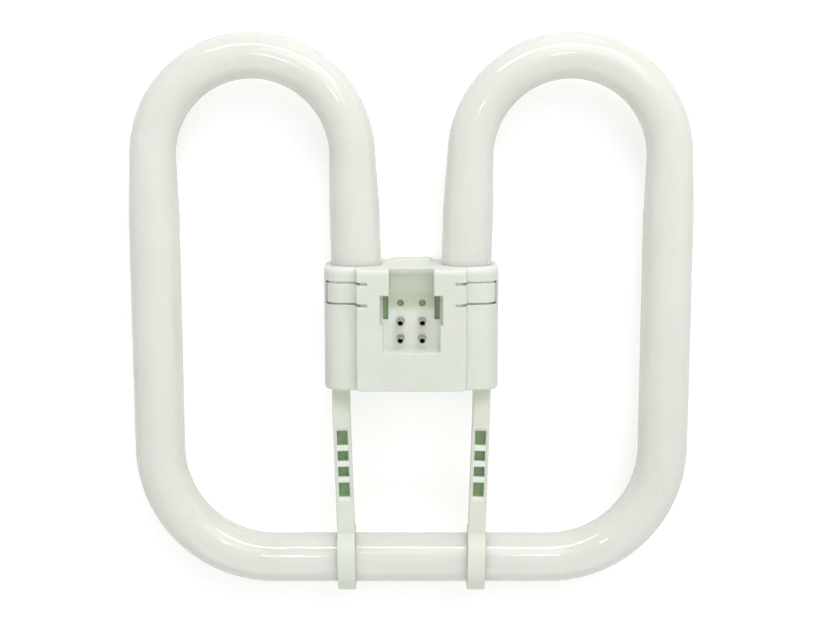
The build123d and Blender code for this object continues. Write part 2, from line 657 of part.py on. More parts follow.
def stay_right():
    """Right stay: its front view and its side view, each carried through the other."""
    depth = 2 * AXIS_Z
    front_prism = extrude(stay_front_view(), depth)
    side_reach = 2 * STAY_SPACING
    side = extrude(Plane.YZ * stay_side_view(), side_reach)
    stay = front_prism & side
    strap_front = stay.faces().filter_by(Axis.Z).sort_by(Axis.Z)[-1]
    long_edges = strap_front.edges().sort_by(SortBy.LENGTH)[-2:]
    return chamfer(long_edges, STAY_EDGE_CHAMFER) - window_ladder()


def stay_aperture():
    """Openings in the cap's bottom wall that the two stays leave by."""
    width = STAY_WIDTH + 2 * STAY_CLEARANCE
    depth = STAY_THICKNESS + 2 * STAY_CLEARANCE
    right = Pos(stay_line_x(CAP_BOTTOM_Y), CAP_BOTTOM_Y, AXIS_Z) * Box(width, 4 * END_WALL, depth)
    return right + mirror(right, Plane.YZ)


def all_parts():
    """Every piece of the lamp, by its file name."""
    parts = {
        "discharge_tube": discharge_tube(),
        "cap_front_shell": cap_front_shell(),
        "cap_rear_shell": cap_rear_shell(),
    }
    for number, (x, y) in enumerate(pin_places(), start=1):
        row = 0 if y == UPPER_PIN_Y else 1
        parts[f"contact_pin_{number}"] = contact_pin(x, y)
        parts[f"lead_wire_{number}"] = lead_wire(x, y, row)
    parts["stay_right"] = stay_right()
    parts["stay_left"] = mirror(stay_right(), Plane.YZ)
    return parts


os.makedirs("parts", exist_ok=True)
for name, solid in all_parts().items():
    export_step(solid, f"parts/{name}.step")
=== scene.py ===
# %% [markdown]
# # A square fluorescent lamp, seen from its pin side
# The lamp is one glass tube, bent into a square with two loops. Both ends of the tube sit in a plastic cap
# with four metal pins, and two plastic stays tie the cap to the far side of the tube. The first step loads
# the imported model. It gives every piece its true place, so nothing here is fitted by eye.

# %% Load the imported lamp
import math

import bmesh
import bpy
import numpy as np
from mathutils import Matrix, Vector


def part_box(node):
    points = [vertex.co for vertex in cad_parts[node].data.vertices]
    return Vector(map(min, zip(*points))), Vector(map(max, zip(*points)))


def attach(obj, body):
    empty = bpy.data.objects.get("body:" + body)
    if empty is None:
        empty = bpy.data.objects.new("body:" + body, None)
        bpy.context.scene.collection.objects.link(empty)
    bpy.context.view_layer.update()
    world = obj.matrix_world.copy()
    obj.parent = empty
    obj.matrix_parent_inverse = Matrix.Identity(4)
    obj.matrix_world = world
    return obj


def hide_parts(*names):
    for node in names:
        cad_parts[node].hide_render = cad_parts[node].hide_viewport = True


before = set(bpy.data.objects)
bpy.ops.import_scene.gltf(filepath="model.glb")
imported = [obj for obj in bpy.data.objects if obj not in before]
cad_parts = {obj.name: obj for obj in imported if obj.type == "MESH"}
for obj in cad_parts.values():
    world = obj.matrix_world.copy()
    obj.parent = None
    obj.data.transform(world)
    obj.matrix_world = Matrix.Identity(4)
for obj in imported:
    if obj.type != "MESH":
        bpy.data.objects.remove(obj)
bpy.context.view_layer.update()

MM = 0.001
WHITE = (1, 1, 1, 1)

# %% [markdown]
# ## The camera
# The photograph was taken from almost straight above the lamp. The camera stands a little towards the loops
# and looks slightly back, so the cap's top edge and the upper walls of its recess show. A long lens from half
# a metre keeps the tube nearly free of perspective.

# %% Place the camera
CAMERA_PLACE = Vector((0.6, 80.3, 533.1)) * MM
CAMERA_TILT = math.radians(8.53)
LENS_MM = 62.04
SENSOR_MM = 36.0

camera_data = bpy.data.cameras.new("photo_camera")
camera_data.lens = LENS_MM
camera_data.sensor_width = SENSOR_MM
camera = bpy.data.objects.new("photo_camera", camera_data)
camera.location = CAMERA_PLACE
camera.rotation_euler = (-CAMERA_TILT, 0, 0)
bpy.context.scene.collection.objects.link(camera)
bpy.context.scene.camera = camera
bpy.context.scene.view_settings.view_transform = "Standard"
print("camera stands", round(CAMERA_PLACE.z / MM), "mm above the floor")

# %% [markdown]
# ## Small helpers for node trees
# Every finish below is a tree of shader nodes. Such a tree could be drawn by hand in the shader editor. Here
# small helpers write it, so that it can be read from top to bottom: one adds a node and sets its values, one
# does arithmetic, one fades between two limits, and the rest mix colours and make noise.

# %% Node helpers


def put(socket, value):
    """Links a node's output into a socket, or writes a plain value there."""
    if isinstance(value, bpy.types.NodeSocket):
        socket.id_data.links.new(value, socket)
    else:
        socket.default_value = value


def add(tree, kind, inputs=None, **settings):
    """New node of a kind, with its settings and its inputs, which are named or numbered."""
    node = tree.nodes.new(kind)
    for name, value in settings.items():
        setattr(node, name, value)
    for name, value in (inputs or {}).items():
        put(node.inputs[name], value)
    return node


def calc(tree, operation, first, second=0.0, third=0.0):
    """One arithmetic step on up to three numbers or sockets."""
    return add(tree, "ShaderNodeMath", {0: first, 1: second, 2: third}, operation=operation).outputs[0]


def fade(tree, value, low, high, at_low=0.0, at_high=1.0):
    """Smooth change between two outputs as the value goes from low to high. Low may be above high."""
    inputs = {"Value": value, 1: low, 2: high, 3: at_low, 4: at_high}
    return add(tree, "ShaderNodeMapRange", inputs, interpolation_type="SMOOTHSTEP").outputs[0]


def product(tree, *values):
    """Product of several masks."""
    result = values[0]
    for value in values[1:]:
        result = calc(tree, "MULTIPLY", result, value)
    return result


def split(tree, vector):
    """The three coordinates of a vector."""
    return add(tree, "ShaderNodeSeparateXYZ", {0: vector}).outputs[:3]


def blend_colours(tree, factor, first, second):
    """Mix of two colours by a factor. The colour sockets of a Mix node are its inputs 6 and 7."""
    node = add(tree, "ShaderNodeMix", data_type="RGBA")
    for index, value in ((0, factor), (6, first), (7, second)):
        put(node.inputs[index], value)
    return node.outputs[2]


def noise(tree, vector, scale, detail=3.0, roughness=0.5):
    """Cloud noise between 0 and 1, at a scale in cells to the metre."""
    inputs = {"Vector": vector, "Scale": scale, "Detail": detail, "Roughness": roughness}
    return add(tree, "ShaderNodeTexNoise", inputs).outputs[0]


def new_material(name):
    """Empty node material with its output and a Principled shader."""
    material = bpy.data.materials.new(name)
    material.use_nodes = True
    tree = material.node_tree
    tree.nodes.clear()
    output = add(tree, "ShaderNodeOutputMaterial")
    shader = add(tree, "ShaderNodeBsdfPrincipled")
    tree.links.new(shader.outputs[0], output.inputs[0])
    return material, tree, shader


print("node helpers are ready")

# %% [markdown]
# ## Light and floor
# The photograph has a pure white background and soft light that comes mostly from the side of the loops and a
# little from the right. Bright lamps alone could make the floor white, but they would wash out the lamp as
# well. So the world gives white to the camera and to reflections, and only a gentle gradient to everything it
# lights.

# %% World light
SKY_LEVEL = 0.47
SKY_SLOPE = 0.12
SKY_DIRECTION = Vector((0.65, 0.35, 0.65)).normalized()

world = bpy.data.worlds.new("soft_white_room")
bpy.context.scene.world = world
world.use_nodes = True
sky = world.node_tree
sky.nodes.clear()
towards = add(sky, "ShaderNodeTexCoord").outputs["Generated"]
slope_node = add(sky, "ShaderNodeVectorMath", {0: towards, 1: SKY_DIRECTION}, operation="DOT_PRODUCT")
level = calc(sky, "MULTIPLY_ADD", slope_node.outputs["Value"], SKY_SLOPE, SKY_LEVEL)
lit_sky = add(sky, "ShaderNodeBackground", {"Color": WHITE, "Strength": level})
seen_sky = add(sky, "ShaderNodeBackground", {"Color": WHITE, "Strength": 1.0})
ray = add(sky, "ShaderNodeLightPath")
seen = calc(sky, "MAXIMUM", ray.outputs["Is Camera Ray"], ray.outputs["Is Glossy Ray"])
seen = calc(sky, "MAXIMUM", seen, ray.outputs["Is Transmission Ray"])
both = add(sky, "ShaderNodeMixShader", {0: seen, 1: lit_sky.outputs[0], 2: seen_sky.outputs[0]})
add(sky, "ShaderNodeOutputWorld", {"Surface": both.outputs[0]})
print("world light level", SKY_LEVEL, "slope", SKY_SLOPE)

# %% [markdown]
# A broad soft lamp adds the light that falls into the connector recess, and a dim one fills in from the other
# side. A thin lamp makes the bright line along the glass, and two small ones make the short, fainter lines
# beside it. Each is given by its radiance, which is the brightness of its face, so its size can change
# without making it brighter.

# %% Soft lamps


def soft_lamp(name, place, aim, width, height, radiance):
    """Rectangular lamp that gives the stated radiance from its whole face towards a point."""
    data = bpy.data.lights.new(name, "AREA")
    data.shape = "RECTANGLE"
    data.size, data.size_y = width, height
    data.energy = radiance * math.pi * width * height
    lamp = bpy.data.objects.new(name, data)
    lamp.location = place
    lamp.rotation_euler = (Vector(aim) - Vector(place)).to_track_quat("-Z", "Y").to_euler()
    bpy.context.scene.collection.objects.link(lamp)


LAMP_AIM = (0, 0, 0.0165)
LAMPS = [  # name, place, width, height, radiance
    ("key_box", (0.45, 0.95, 1.20), 1.10, 0.90, 1.4),
    ("strip_box", (0.04, 0.69, 0.45), 1.00, 0.09, 7.7),
    ("fill_box", (-0.10, -1.20, 0.90), 1.60, 1.00, 0.8),
    ("left_ceiling_lamp", (-0.10, 0.16, 0.68), 0.05, 0.06, 8.0),
    ("right_ceiling_lamp", (0.11, 0.22, 0.68), 0.05, 0.06, 8.0),
]
for lamp_name, lamp_place, lamp_width, lamp_height, lamp_radiance in LAMPS:
    soft_lamp(lamp_name, lamp_place, LAMP_AIM, lamp_width, lamp_height, lamp_radiance)
print("soft lamps:", len(LAMPS))

# %% [markdown]
# The lamp lies on a white sheet. A plane is enough for it. It adds its own white for the camera, so that it
# stays white and still takes a soft shadow, and less of it for reflections, which keeps the glass's lower
# side grey.

# %% Floor
FLOOR_HALF = 3.0
FLOOR_TONE = (0.86, 0.86, 0.85, 1)
FLOOR_GLOW = 0.42
FLOOR_MIRRORED_GLOW = 0.12

corners = [(-FLOOR_HALF, -FLOOR_HALF, 0), (FLOOR_HALF, -FLOOR_HALF, 0)]
corners += [(FLOOR_HALF, FLOOR_HALF, 0), (-FLOOR_HALF, FLOOR_HALF, 0)]
floor_mesh = bpy.data.meshes.new("floor")
floor_mesh.from_pydata(corners, [], [(0, 1, 2, 3)])
floor = bpy.data.objects.new("floor", floor_mesh)
bpy.context.scene.collection.objects.link(floor)

floor_material = bpy.data.materials.new("pale_floor")
floor_material.use_nodes = True
ground = floor_material.node_tree
ground.nodes.clear()
paint = add(ground, "ShaderNodeBsdfDiffuse", {"Color": FLOOR_TONE})
floor_ray = add(ground, "ShaderNodeLightPath")
kinds = floor_ray.outputs
in_view = calc(ground, "MAXIMUM", kinds["Is Camera Ray"], kinds["Is Transmission Ray"])
seen_glow = calc(ground, "MULTIPLY", in_view, FLOOR_GLOW)
strength = calc(ground, "MULTIPLY_ADD", kinds["Is Glossy Ray"], FLOOR_MIRRORED_GLOW, seen_glow)
glow = add(ground, "ShaderNodeEmission", {"Color": WHITE, "Strength": strength})
total = add(ground, "ShaderNodeAddShader", {0: paint.outputs[0], 1: glow.outputs[0]})
add(ground, "ShaderNodeOutputMaterial", {"Surface": total.outputs[0]})
floor.data.materials.append(floor_material)
print("floor is", 2 * FLOOR_HALF, "m wide")

# %% [markdown]
# ## Surfaces from two parameters
# The glass is a circle carried along a bent path, so a point on it needs two numbers: how far along the path
# it lies, and how far round the circle. Numpy works out the whole grid of points at once. Where the grid
# closes on itself its last column joins the first, and a cap of one point closes each end.

# %% Grid to mesh


def ring_mesh(name, points, along):
    """Closed mesh from rings of points, shaped (rings, points in a ring, 3).

    Each quad joins ring i, column j to ring i + 1, column j + 1, and the last column joins the first.
    One point at the middle of the first and of the last ring closes each end with a fan.
    The UV map holds the distance along in metres and the turn round from 0 to 1.
    """
    rings, columns, _ = points.shape
    grid = np.arange(rings * columns).reshape(rings, columns)
    ahead = np.roll(grid, -1, axis=1)
    quads = np.stack([grid[:-1], ahead[:-1], ahead[1:], grid[1:]], axis=-1).reshape(-1, 4)
    first_pole, last_pole = rings * columns, rings * columns + 1
    start_fan = np.stack([ahead[0], grid[0], np.full(columns, first_pole)], axis=-1)
    end_fan = np.stack([grid[-1], ahead[-1], np.full(columns, last_pole)], axis=-1)
    poles = np.stack([points[0].mean(axis=0), points[-1].mean(axis=0)])
    vertices = np.concatenate([points.reshape(-1, 3), poles])
    loops = np.concatenate([quads.ravel(), start_fan.ravel(), end_fan.ravel()])
    sizes = np.concatenate([np.full(len(quads), 4), np.full(2 * columns, 3)])
    mesh = bpy.data.meshes.new(name)
    mesh.vertices.add(len(vertices))
    mesh.vertices.foreach_set("co", vertices.ravel())
    mesh.loops.add(len(loops))
    mesh.loops.foreach_set("vertex_index", loops)
    mesh.polygons.add(len(sizes))
    mesh.polygons.foreach_set("loop_start", np.concatenate([[0], np.cumsum(sizes)[:-1]]))
    mesh.polygons.foreach_set("use_smooth", np.ones(len(sizes), bool))
    turn = np.arange(columns) / columns
    step = 1 / columns
    low = np.broadcast_to(turn, (rings - 1, columns))
    quad_turn = np.stack([low, low + step, low + step, low], axis=-1)
    near = np.broadcast_to(along[:-1, None], (rings - 1, columns))
    far = np.broadcast_to(along[1:, None], (rings - 1, columns))
    quad_along = np.stack([near, near, far, far], axis=-1)
    fan_turn = np.stack([turn + step, turn, turn + step / 2], axis=-1)
    fan_uv = [np.stack([np.full((columns, 3), end), fan_turn], axis=-1).reshape(-1, 2)
              for end in along[[0, -1]]]
    quad_uv = np.stack([quad_along, quad_turn], axis=-1).reshape(-1, 2)
    layer = mesh.uv_layers.new(name="surface")
    layer.data.foreach_set("uv", np.concatenate([quad_uv, *fan_uv]).ravel())
    mesh.update(calc_edges=True)
    mesh.validate()
    return mesh


def place_piece(name, mesh, material, slot, *nodes):
    """Object for a finished mesh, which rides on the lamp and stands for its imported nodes."""
    piece = bpy.data.objects.new(name, mesh)
    bpy.context.scene.collection.objects.link(piece)
    if material:
        piece.data.materials.append(material)
    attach(piece, "root")
    if nodes:
        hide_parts(*nodes)
    print(name, "has", len(mesh.polygons), "faces")
    return piece


print("ring_mesh and place_piece are ready")

# %% [markdown]
# ## Finishes
# Moulded plastic has a fine grain, and every surface carries some dust. More than one finish uses them, so
# each is a node group with its own inputs: it is built once and placed in each material with that material's
# values.

# %% Groups: moulded grain and fine dust


def new_group(name, inputs, outputs):
    """Empty shader group. Inputs are (name, kind, default) and outputs are (name, kind)."""
    group = bpy.data.node_groups.new(name, "ShaderNodeTree")
    for label, kind, default in inputs:
        socket = group.interface.new_socket(label, in_out="INPUT", socket_type="NodeSocket" + kind)
        if default is not None:
            socket.default_value = default
    for label, kind in outputs:
        group.interface.new_socket(label, in_out="OUTPUT", socket_type="NodeSocket" + kind)
    return group, group.nodes.new("NodeGroupInput"), group.nodes.new("NodeGroupOutput")


def make_grain_group():
    """Height of a moulded skin: fine spark-eroded pits over a slow waviness."""
    inputs = [("Vector", "Vector", None), ("Pit Scale", "Float", 2600.0), ("Wave Scale", "Float", 70.0)]
    group, source, result = new_group("moulded_grain", inputs, [("Height", "Float"), ("Clouds", "Float")])
    pits = noise(group, source.outputs["Vector"], source.outputs["Pit Scale"], 2.0, 0.6)
    clouds = noise(group, source.outputs["Vector"], source.outputs["Wave Scale"], 4.0, 0.55)
    pit_share = calc(group, "MULTIPLY", pits, 0.45)
    put(result.inputs["Height"], calc(group, "MULTIPLY_ADD", clouds, 0.55, pit_share))
    put(result.inputs["Clouds"], clouds)
    return group


def make_dust_group():
    """Mask of sparse fine specks, from cells whose random value is high, and small round dots in them."""
    inputs = [("Vector", "Vector", None), ("Scale", "Float", 900.0), ("Share", "Float", 0.06)]
    group, source, result = new_group("fine_dust", inputs, [("Mask", "Float")])
    inputs = {name: source.outputs[name] for name in ("Vector", "Scale")}
    cells = add(group, "ShaderNodeTexVoronoi", inputs)
    chance = add(group, "ShaderNodeSeparateColor", {"Color": cells.outputs["Color"]}).outputs[0]
    chosen = calc(group, "LESS_THAN", chance, source.outputs["Share"])
    dot = fade(group, cells.outputs["Distance"], 0.28, 0.10)
    put(result.inputs["Mask"], calc(group, "MULTIPLY", chosen, dot))
    return group


GRAIN = make_grain_group()
DUST = make_dust_group()
print("node groups:", GRAIN.name, "and", DUST.name)

# %% [markdown]
# Relief that is finer than a mesh can hold goes in as a normal. The same normal can also round a sharp edge
# for the light alone, which the Bevel node does, so the mesh keeps its exact size.

# %% Place the effects


def grain(tree, vector, pit_scale, wave_scale):
    """Places the grain group and returns its height and its clouds."""
    inputs = {"Vector": vector, "Pit Scale": pit_scale, "Wave Scale": wave_scale}
    node = add(tree, "ShaderNodeGroup", node_tree=GRAIN)
    for name, value in inputs.items():
        put(node.inputs[name], value)
    return node.outputs["Height"], node.outputs["Clouds"]


def dust(tree, vector, scale, share):
    """Places the dust group and returns its mask."""
    node = add(tree, "ShaderNodeGroup", node_tree=DUST)
    for name, value in {"Vector": vector, "Scale": scale, "Share": share}.items():
        put(node.inputs[name], value)
    return node.outputs["Mask"]


def bump(tree, height, distance, strength, edge_radius=0.0):
    """Normal from a height field, whose full range stands for a distance in metres.

    With an edge radius the sharp edges are shaded as if they were rounded by that much.
    """
    inputs = {"Height": height, "Distance": distance, "Strength": strength}
    if edge_radius:
        inputs["Normal"] = add(tree, "ShaderNodeBevel", {"Radius": edge_radius}, samples=4).outputs[0]
    return add(tree, "ShaderNodeBump", inputs).outputs[0]


print("effects can be placed")

# %% [markdown]
# ## The coated glass
# The glass is clear and the white is a powder on its inside. A glass shader round a white tube could show
# that, but it is slow and noisy, and the wall is thin. So the surface is a white base that scatters light
# under a hard, smooth coat. The powder dries a little unevenly, which gives faint clouds and streaks along
# the tube. Drawn glass is never quite straight, so a very long, shallow waviness makes the reflected line of
# light wander slightly.

# %% Coated glass finish
GLASS_DULL = (0.803, 0.807, 0.756, 1)
GLASS_BRIGHT = (0.842, 0.845, 0.797, 1)
GLASS_POWDER = (0.86, 0.86, 0.81, 1)
GLASS_SPECK = (0.55, 0.54, 0.47, 1)
GLASS_STRETCH = (14.0, 9.0, 1.0)
GLASS_CLOUD_SCALE = 55.0
GLASS_POWDER_SCALE = 1400.0
GLASS_SPECK_SCALE = 420.0
GLASS_WAVE_HEIGHT = 0.4 * MM
GLASS_SCATTER_MM = (10.0, 10.0, 9.0)


def make_glass_material():
    """White powder behind smooth glass. The streaks follow the UV map, the clouds and specks the place."""
    material, tree, shader = new_material("coated_glass")
    place = add(tree, "ShaderNodeTexCoord")
    point = place.outputs["Object"]
    surface = place.outputs["UV"]
    stretched = add(tree, "ShaderNodeMapping", {"Vector": surface, "Scale": GLASS_STRETCH}).outputs[0]
    streaks = noise(tree, stretched, 1.0, 4.0, 0.6)
    clouds = noise(tree, point, GLASS_CLOUD_SCALE, 3.0, 0.5)
    powder = noise(tree, point, GLASS_POWDER_SCALE, 2.0, 0.5)
    tone = calc(tree, "ADD", calc(tree, "MULTIPLY", streaks, 0.45), calc(tree, "MULTIPLY", clouds, 0.55))
    colour = blend_colours(tree, fade(tree, tone, 0.3, 0.7), GLASS_DULL, GLASS_BRIGHT)
    colour = blend_colours(tree, fade(tree, powder, 0.62, 0.78), colour, GLASS_POWDER)
    specks = dust(tree, point, GLASS_SPECK_SCALE, 0.015)
    colour = blend_colours(tree, calc(tree, "MULTIPLY", specks, 0.22), colour, GLASS_SPECK)
    put(shader.inputs["Base Color"], colour)
    put(shader.inputs["Roughness"], fade(tree, clouds, 0.2, 0.8, 0.05, 0.10))
    shader.inputs["IOR"].default_value = 1.5
    shader.inputs["Coat Weight"].default_value = 0.35
    shader.inputs["Coat Roughness"].default_value = 0.02
    shader.inputs["Subsurface Weight"].default_value = 1.0
    shader.inputs["Subsurface Radius"].default_value = GLASS_SCATTER_MM
    shader.inputs["Subsurface Scale"].default_value = MM
    long_waves = noise(tree, stretched, 0.7, 1.0, 0.4)
    put(shader.inputs["Normal"], bump(tree, long_waves, GLASS_WAVE_HEIGHT, 0.25))
    return material


glass_material = make_glass_material()
print("finish", glass_material.name)

# %% [markdown]
# ## The bent tube
# The path starts at the middle of the bottom run and is the same to both sides. One half is a straight run, a
# quarter circle, the outer limb, a loop of just under half a turn, and the inner limb that leans towards the
# middle. The glass is widest on the straight limbs and thinner in the loops, where it stretched as it was
# bent. A swept curve object could make the path but not the changing thickness, so the grid is worked out
# directly.

# %% Tube sizes
RUN_RADIUS = 9.05 * MM
LIMB_RADIUS = 9.10 * MM
LOOP_TUBE_RADIUS = 8.30 * MM
CORNER_RADIUS = 42.0 * MM
TAPER_LENGTH = 22.0 * MM
LIMB_SLANT = math.radians(1.8)
LIMB_SPACING = 40.1 * MM
CAP_TOP_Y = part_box("cap_front_shell")[1].y
SHOULDER = 3.0 * MM
EXHAUST_RADIUS = 2.3 * MM
EXHAUST_LENGTH = 6.4 * MM
SEAT_DEPTH = 20.0 * MM

tube_low, tube_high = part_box("discharge_tube")
AXIS_Z = (tube_low.z + tube_high.z) / 2
OUTER_X = tube_high.x - LIMB_RADIUS
RUN_Y = tube_low.y + RUN_RADIUS
LOOP_TOP_Y = tube_high.y - LOOP_TUBE_RADIUS
SLOPE = math.tan(LIMB_SLANT)
LOOP_REACH = OUTER_X - LIMB_SPACING / 2 - (LOOP_TOP_Y - CAP_TOP_Y) * SLOPE
LOOP_RADIUS = LOOP_REACH / (1 + math.cos(LIMB_SLANT) - (1 - math.sin(LIMB_SLANT)) * SLOPE)
LOOP_X = OUTER_X - LOOP_RADIUS
LOOP_Y = LOOP_TOP_Y - LOOP_RADIUS
CORNER_X = OUTER_X - CORNER_RADIUS
CORNER_Y = RUN_Y + CORNER_RADIUS
print("loop radius, mm:", round(LOOP_RADIUS / MM, 2))

# %% Path of the tube


def stretch_starts():
    """Distances from the middle of the run at which the five stretches of one half start, and the end's."""
    loop_end_y = LOOP_Y + LOOP_RADIUS * math.sin(LIMB_SLANT)
    end_y = CAP_TOP_Y - SEAT_DEPTH
    lengths = np.array([
        CORNER_X,
        CORNER_RADIUS * math.pi / 2,
        LOOP_Y - CORNER_Y,
        LOOP_RADIUS * (math.pi - LIMB_SLANT),
        (loop_end_y - end_y) / math.cos(LIMB_SLANT),
    ])
    return np.concatenate([[0], np.cumsum(lengths)])


def half_path(distance):
    """Point (x, y) and direction (x, y) at a distance from the middle of the run, along the right half.

    Straight stretches are start + distance * direction. In a bend of radius R about a centre, the turn is
    distance / R, the point is centre + R * (cos, sin) and the direction is (-sin, cos) of the turn.
    """
    starts = stretch_starts()
    run = distance - starts[0]
    corner = (distance - starts[1]) / CORNER_RADIUS - math.pi / 2
    limb = distance - starts[2]
    loop = (distance - starts[3]) / LOOP_RADIUS
    inner = distance - starts[4]
    loop_end = math.pi - LIMB_SLANT
    stage = np.searchsorted(starts[1:-1], distance, side="right")
    x = np.choose(stage, [
        run,
        CORNER_X + CORNER_RADIUS * np.cos(corner),
        OUTER_X + 0 * limb,
        LOOP_X + LOOP_RADIUS * np.cos(loop),
        LOOP_X + LOOP_RADIUS * math.cos(loop_end) - inner * math.sin(loop_end),
    ])
    y = np.choose(stage, [
        RUN_Y + 0 * run,
        CORNER_Y + CORNER_RADIUS * np.sin(corner),
        CORNER_Y + limb,
        LOOP_Y + LOOP_RADIUS * np.sin(loop),
        LOOP_Y + LOOP_RADIUS * math.sin(loop_end) + inner * math.cos(loop_end),
    ])
    angle = np.choose(stage, [0 * run, corner + math.pi / 2, math.pi / 2 + 0 * limb, loop + math.pi / 2,
                              loop_end + math.pi / 2 + 0 * inner])
    return x, y, np.cos(angle), np.sin(angle)


print("half of the tube is", round(stretch_starts()[-1] / MM), "mm long")

# %% [markdown]
# The two sealed ends sit inside the cap. Each has a round shoulder, a flat seal and the stub of the thin tube
# through which the air was drawn out. They are a few more rings at the ends of the same grid.

# %% Thickness and rings of the tube
RING_SPACING = 1.6 * MM
TUBE_COLUMNS = 96
END_RADIUS = 0.02 * MM
EXHAUST_FILLET = 0.4 * MM


def half_radius(distance):
    """Radius of the glass along one half: straight tapers join the run's, the limb's and the loop's radii."""
    starts = stretch_starts()
    inner_taper = min(TAPER_LENGTH, (starts[5] - starts[4] - SHOULDER) / 3)
    places = [0, starts[2], starts[2] + TAPER_LENGTH, starts[3] - TAPER_LENGTH, starts[3]]
    places += [starts[4], starts[4] + inner_taper, starts[5]]
    radii = [RUN_RADIUS, RUN_RADIUS, LIMB_RADIUS, LIMB_RADIUS, LOOP_TUBE_RADIUS]
    radii += [LOOP_TUBE_RADIUS, LIMB_RADIUS, LIMB_RADIUS]
    return np.interp(distance, places, radii)


def tube_grid(ring_spacing, columns):
    """Rings of the whole tube, from the end in the left of the cap to the end in the right.

    The left half mirrors the right: x and the direction's y change sign. A ring is centre plus radius times
    cos(turn) along the sideways direction plus sin(turn) along Z. Past each end follow the round shoulder,
    the flat seal and the exhaust tube, as pairs of a distance past the end and a radius.
    """
    starts = stretch_starts()
    count = int(round(starts[-1] / ring_spacing))
    distance = np.linspace(0, starts[-1] - SHOULDER, count)
    x, y, dx, dy = half_path(distance)
    radius = half_radius(distance)
    turn = np.linspace(0, math.pi / 2, 7)[1:]
    past = np.concatenate([
        SHOULDER * (np.sin(turn) - 1),
        [0, 0, EXHAUST_LENGTH * 0.6, EXHAUST_LENGTH * 0.9, EXHAUST_LENGTH],
    ])
    end_radii = np.concatenate([
        LIMB_RADIUS - SHOULDER * (1 - np.cos(turn)),
        [EXHAUST_RADIUS + EXHAUST_FILLET, EXHAUST_RADIUS],
        [EXHAUST_RADIUS * 0.9, EXHAUST_RADIUS * 0.5, END_RADIUS],
    ])
    end_x, end_y, end_dx, end_dy = (v[0] for v in half_path(np.array([starts[-1] - 1e-9])))
    x = np.concatenate([x, end_x + past * end_dx])
    y = np.concatenate([y, end_y + past * end_dy])
    dx = np.concatenate([dx, np.full(len(past), end_dx)])
    dy = np.concatenate([dy, np.full(len(past), end_dy)])
    radius = np.concatenate([radius, end_radii])
    along = np.concatenate([distance, starts[-1] + past])
    whole = [np.concatenate([sign * v[:0:-1], v]) for v, sign in ((x, -1), (y, 1), (dx, 1), (dy, -1))]
    x, y, dx, dy = whole
    radius = np.concatenate([radius[:0:-1], radius])
    along = np.concatenate([-along[:0:-1], along])
    turn = np.linspace(0, 2 * math.pi, columns, endpoint=False)
    side, rise = np.cos(turn), -np.sin(turn)
    points = np.stack([
        x[:, None] + radius[:, None] * side * dy[:, None],
        y[:, None] - radius[:, None] * side * dx[:, None],
        AXIS_Z + radius[:, None] * rise * np.ones_like(x)[:, None],
    ], axis=-1)
    return points, along


tube_points, tube_along = tube_grid(RING_SPACING, TUBE_COLUMNS)
tube_mesh = ring_mesh("bent_tube", tube_points, tube_along)
place_piece("bent_tube", tube_mesh, glass_material, "glass_tube", "discharge_tube")

# %% [markdown]
# ## The moulded plastic
# Both cap shells and the stays are the same pale green-white plastic. It lets a little light through, which
# subsurface scattering gives: thin walls glow slightly and the gaps between pieces aren't black. The slots,
# holes and pockets get a deeper green, which is painted shade: darker and greener where little light reaches.
# The skin has the fine grain of a spark-eroded mould. One function makes both plastics, and each gets its own
# list of tones and masks.

# %% Plastic finish
PLASTIC_LIGHT = (0.832, 0.886, 0.792, 1)
PLASTIC_DARK = (0.803, 0.855, 0.751, 1)
PLASTIC_WARM = (0.848, 0.865, 0.765, 1)
# painted light: a paler tone for the recess, the top rim and the slits
PLASTIC_PAINTED_LIGHT = (0.925, 0.985, 0.885, 1)
# painted light: a paler tone for the bars between the stays' pockets
PLASTIC_BAR_LIGHT = (0.930, 0.990, 0.895, 1)
# painted shade: a darker tone for the ramp, which faces away from the light
PLASTIC_RAMP_SHADE = (0.730, 0.788, 0.662, 1)
# painted shade: a dimmer tone for the floor at the ramp's foot
PLASTIC_FOOT_SHADE = (0.620, 0.668, 0.540, 1)
# painted shade: a deep green for the slots, holes and pockets
PLASTIC_POCKET_SHADE = (0.385, 0.537, 0.315, 1)
PLASTIC_SPECK = (0.42, 0.45, 0.36, 1)
PLASTIC_PIT_SCALE = 2200.0
PLASTIC_WAVE_SCALE = 90.0
PLASTIC_WARMTH_SCALE = 32.0
PLASTIC_SPECK_SCALE = 1300.0
PLASTIC_GRAIN_HEIGHT = 0.06 * MM
PLASTIC_SCATTER_MM = (1.4, 2.2, 1.1)
MOULD_EDGE_RADIUS = 0.40 * MM


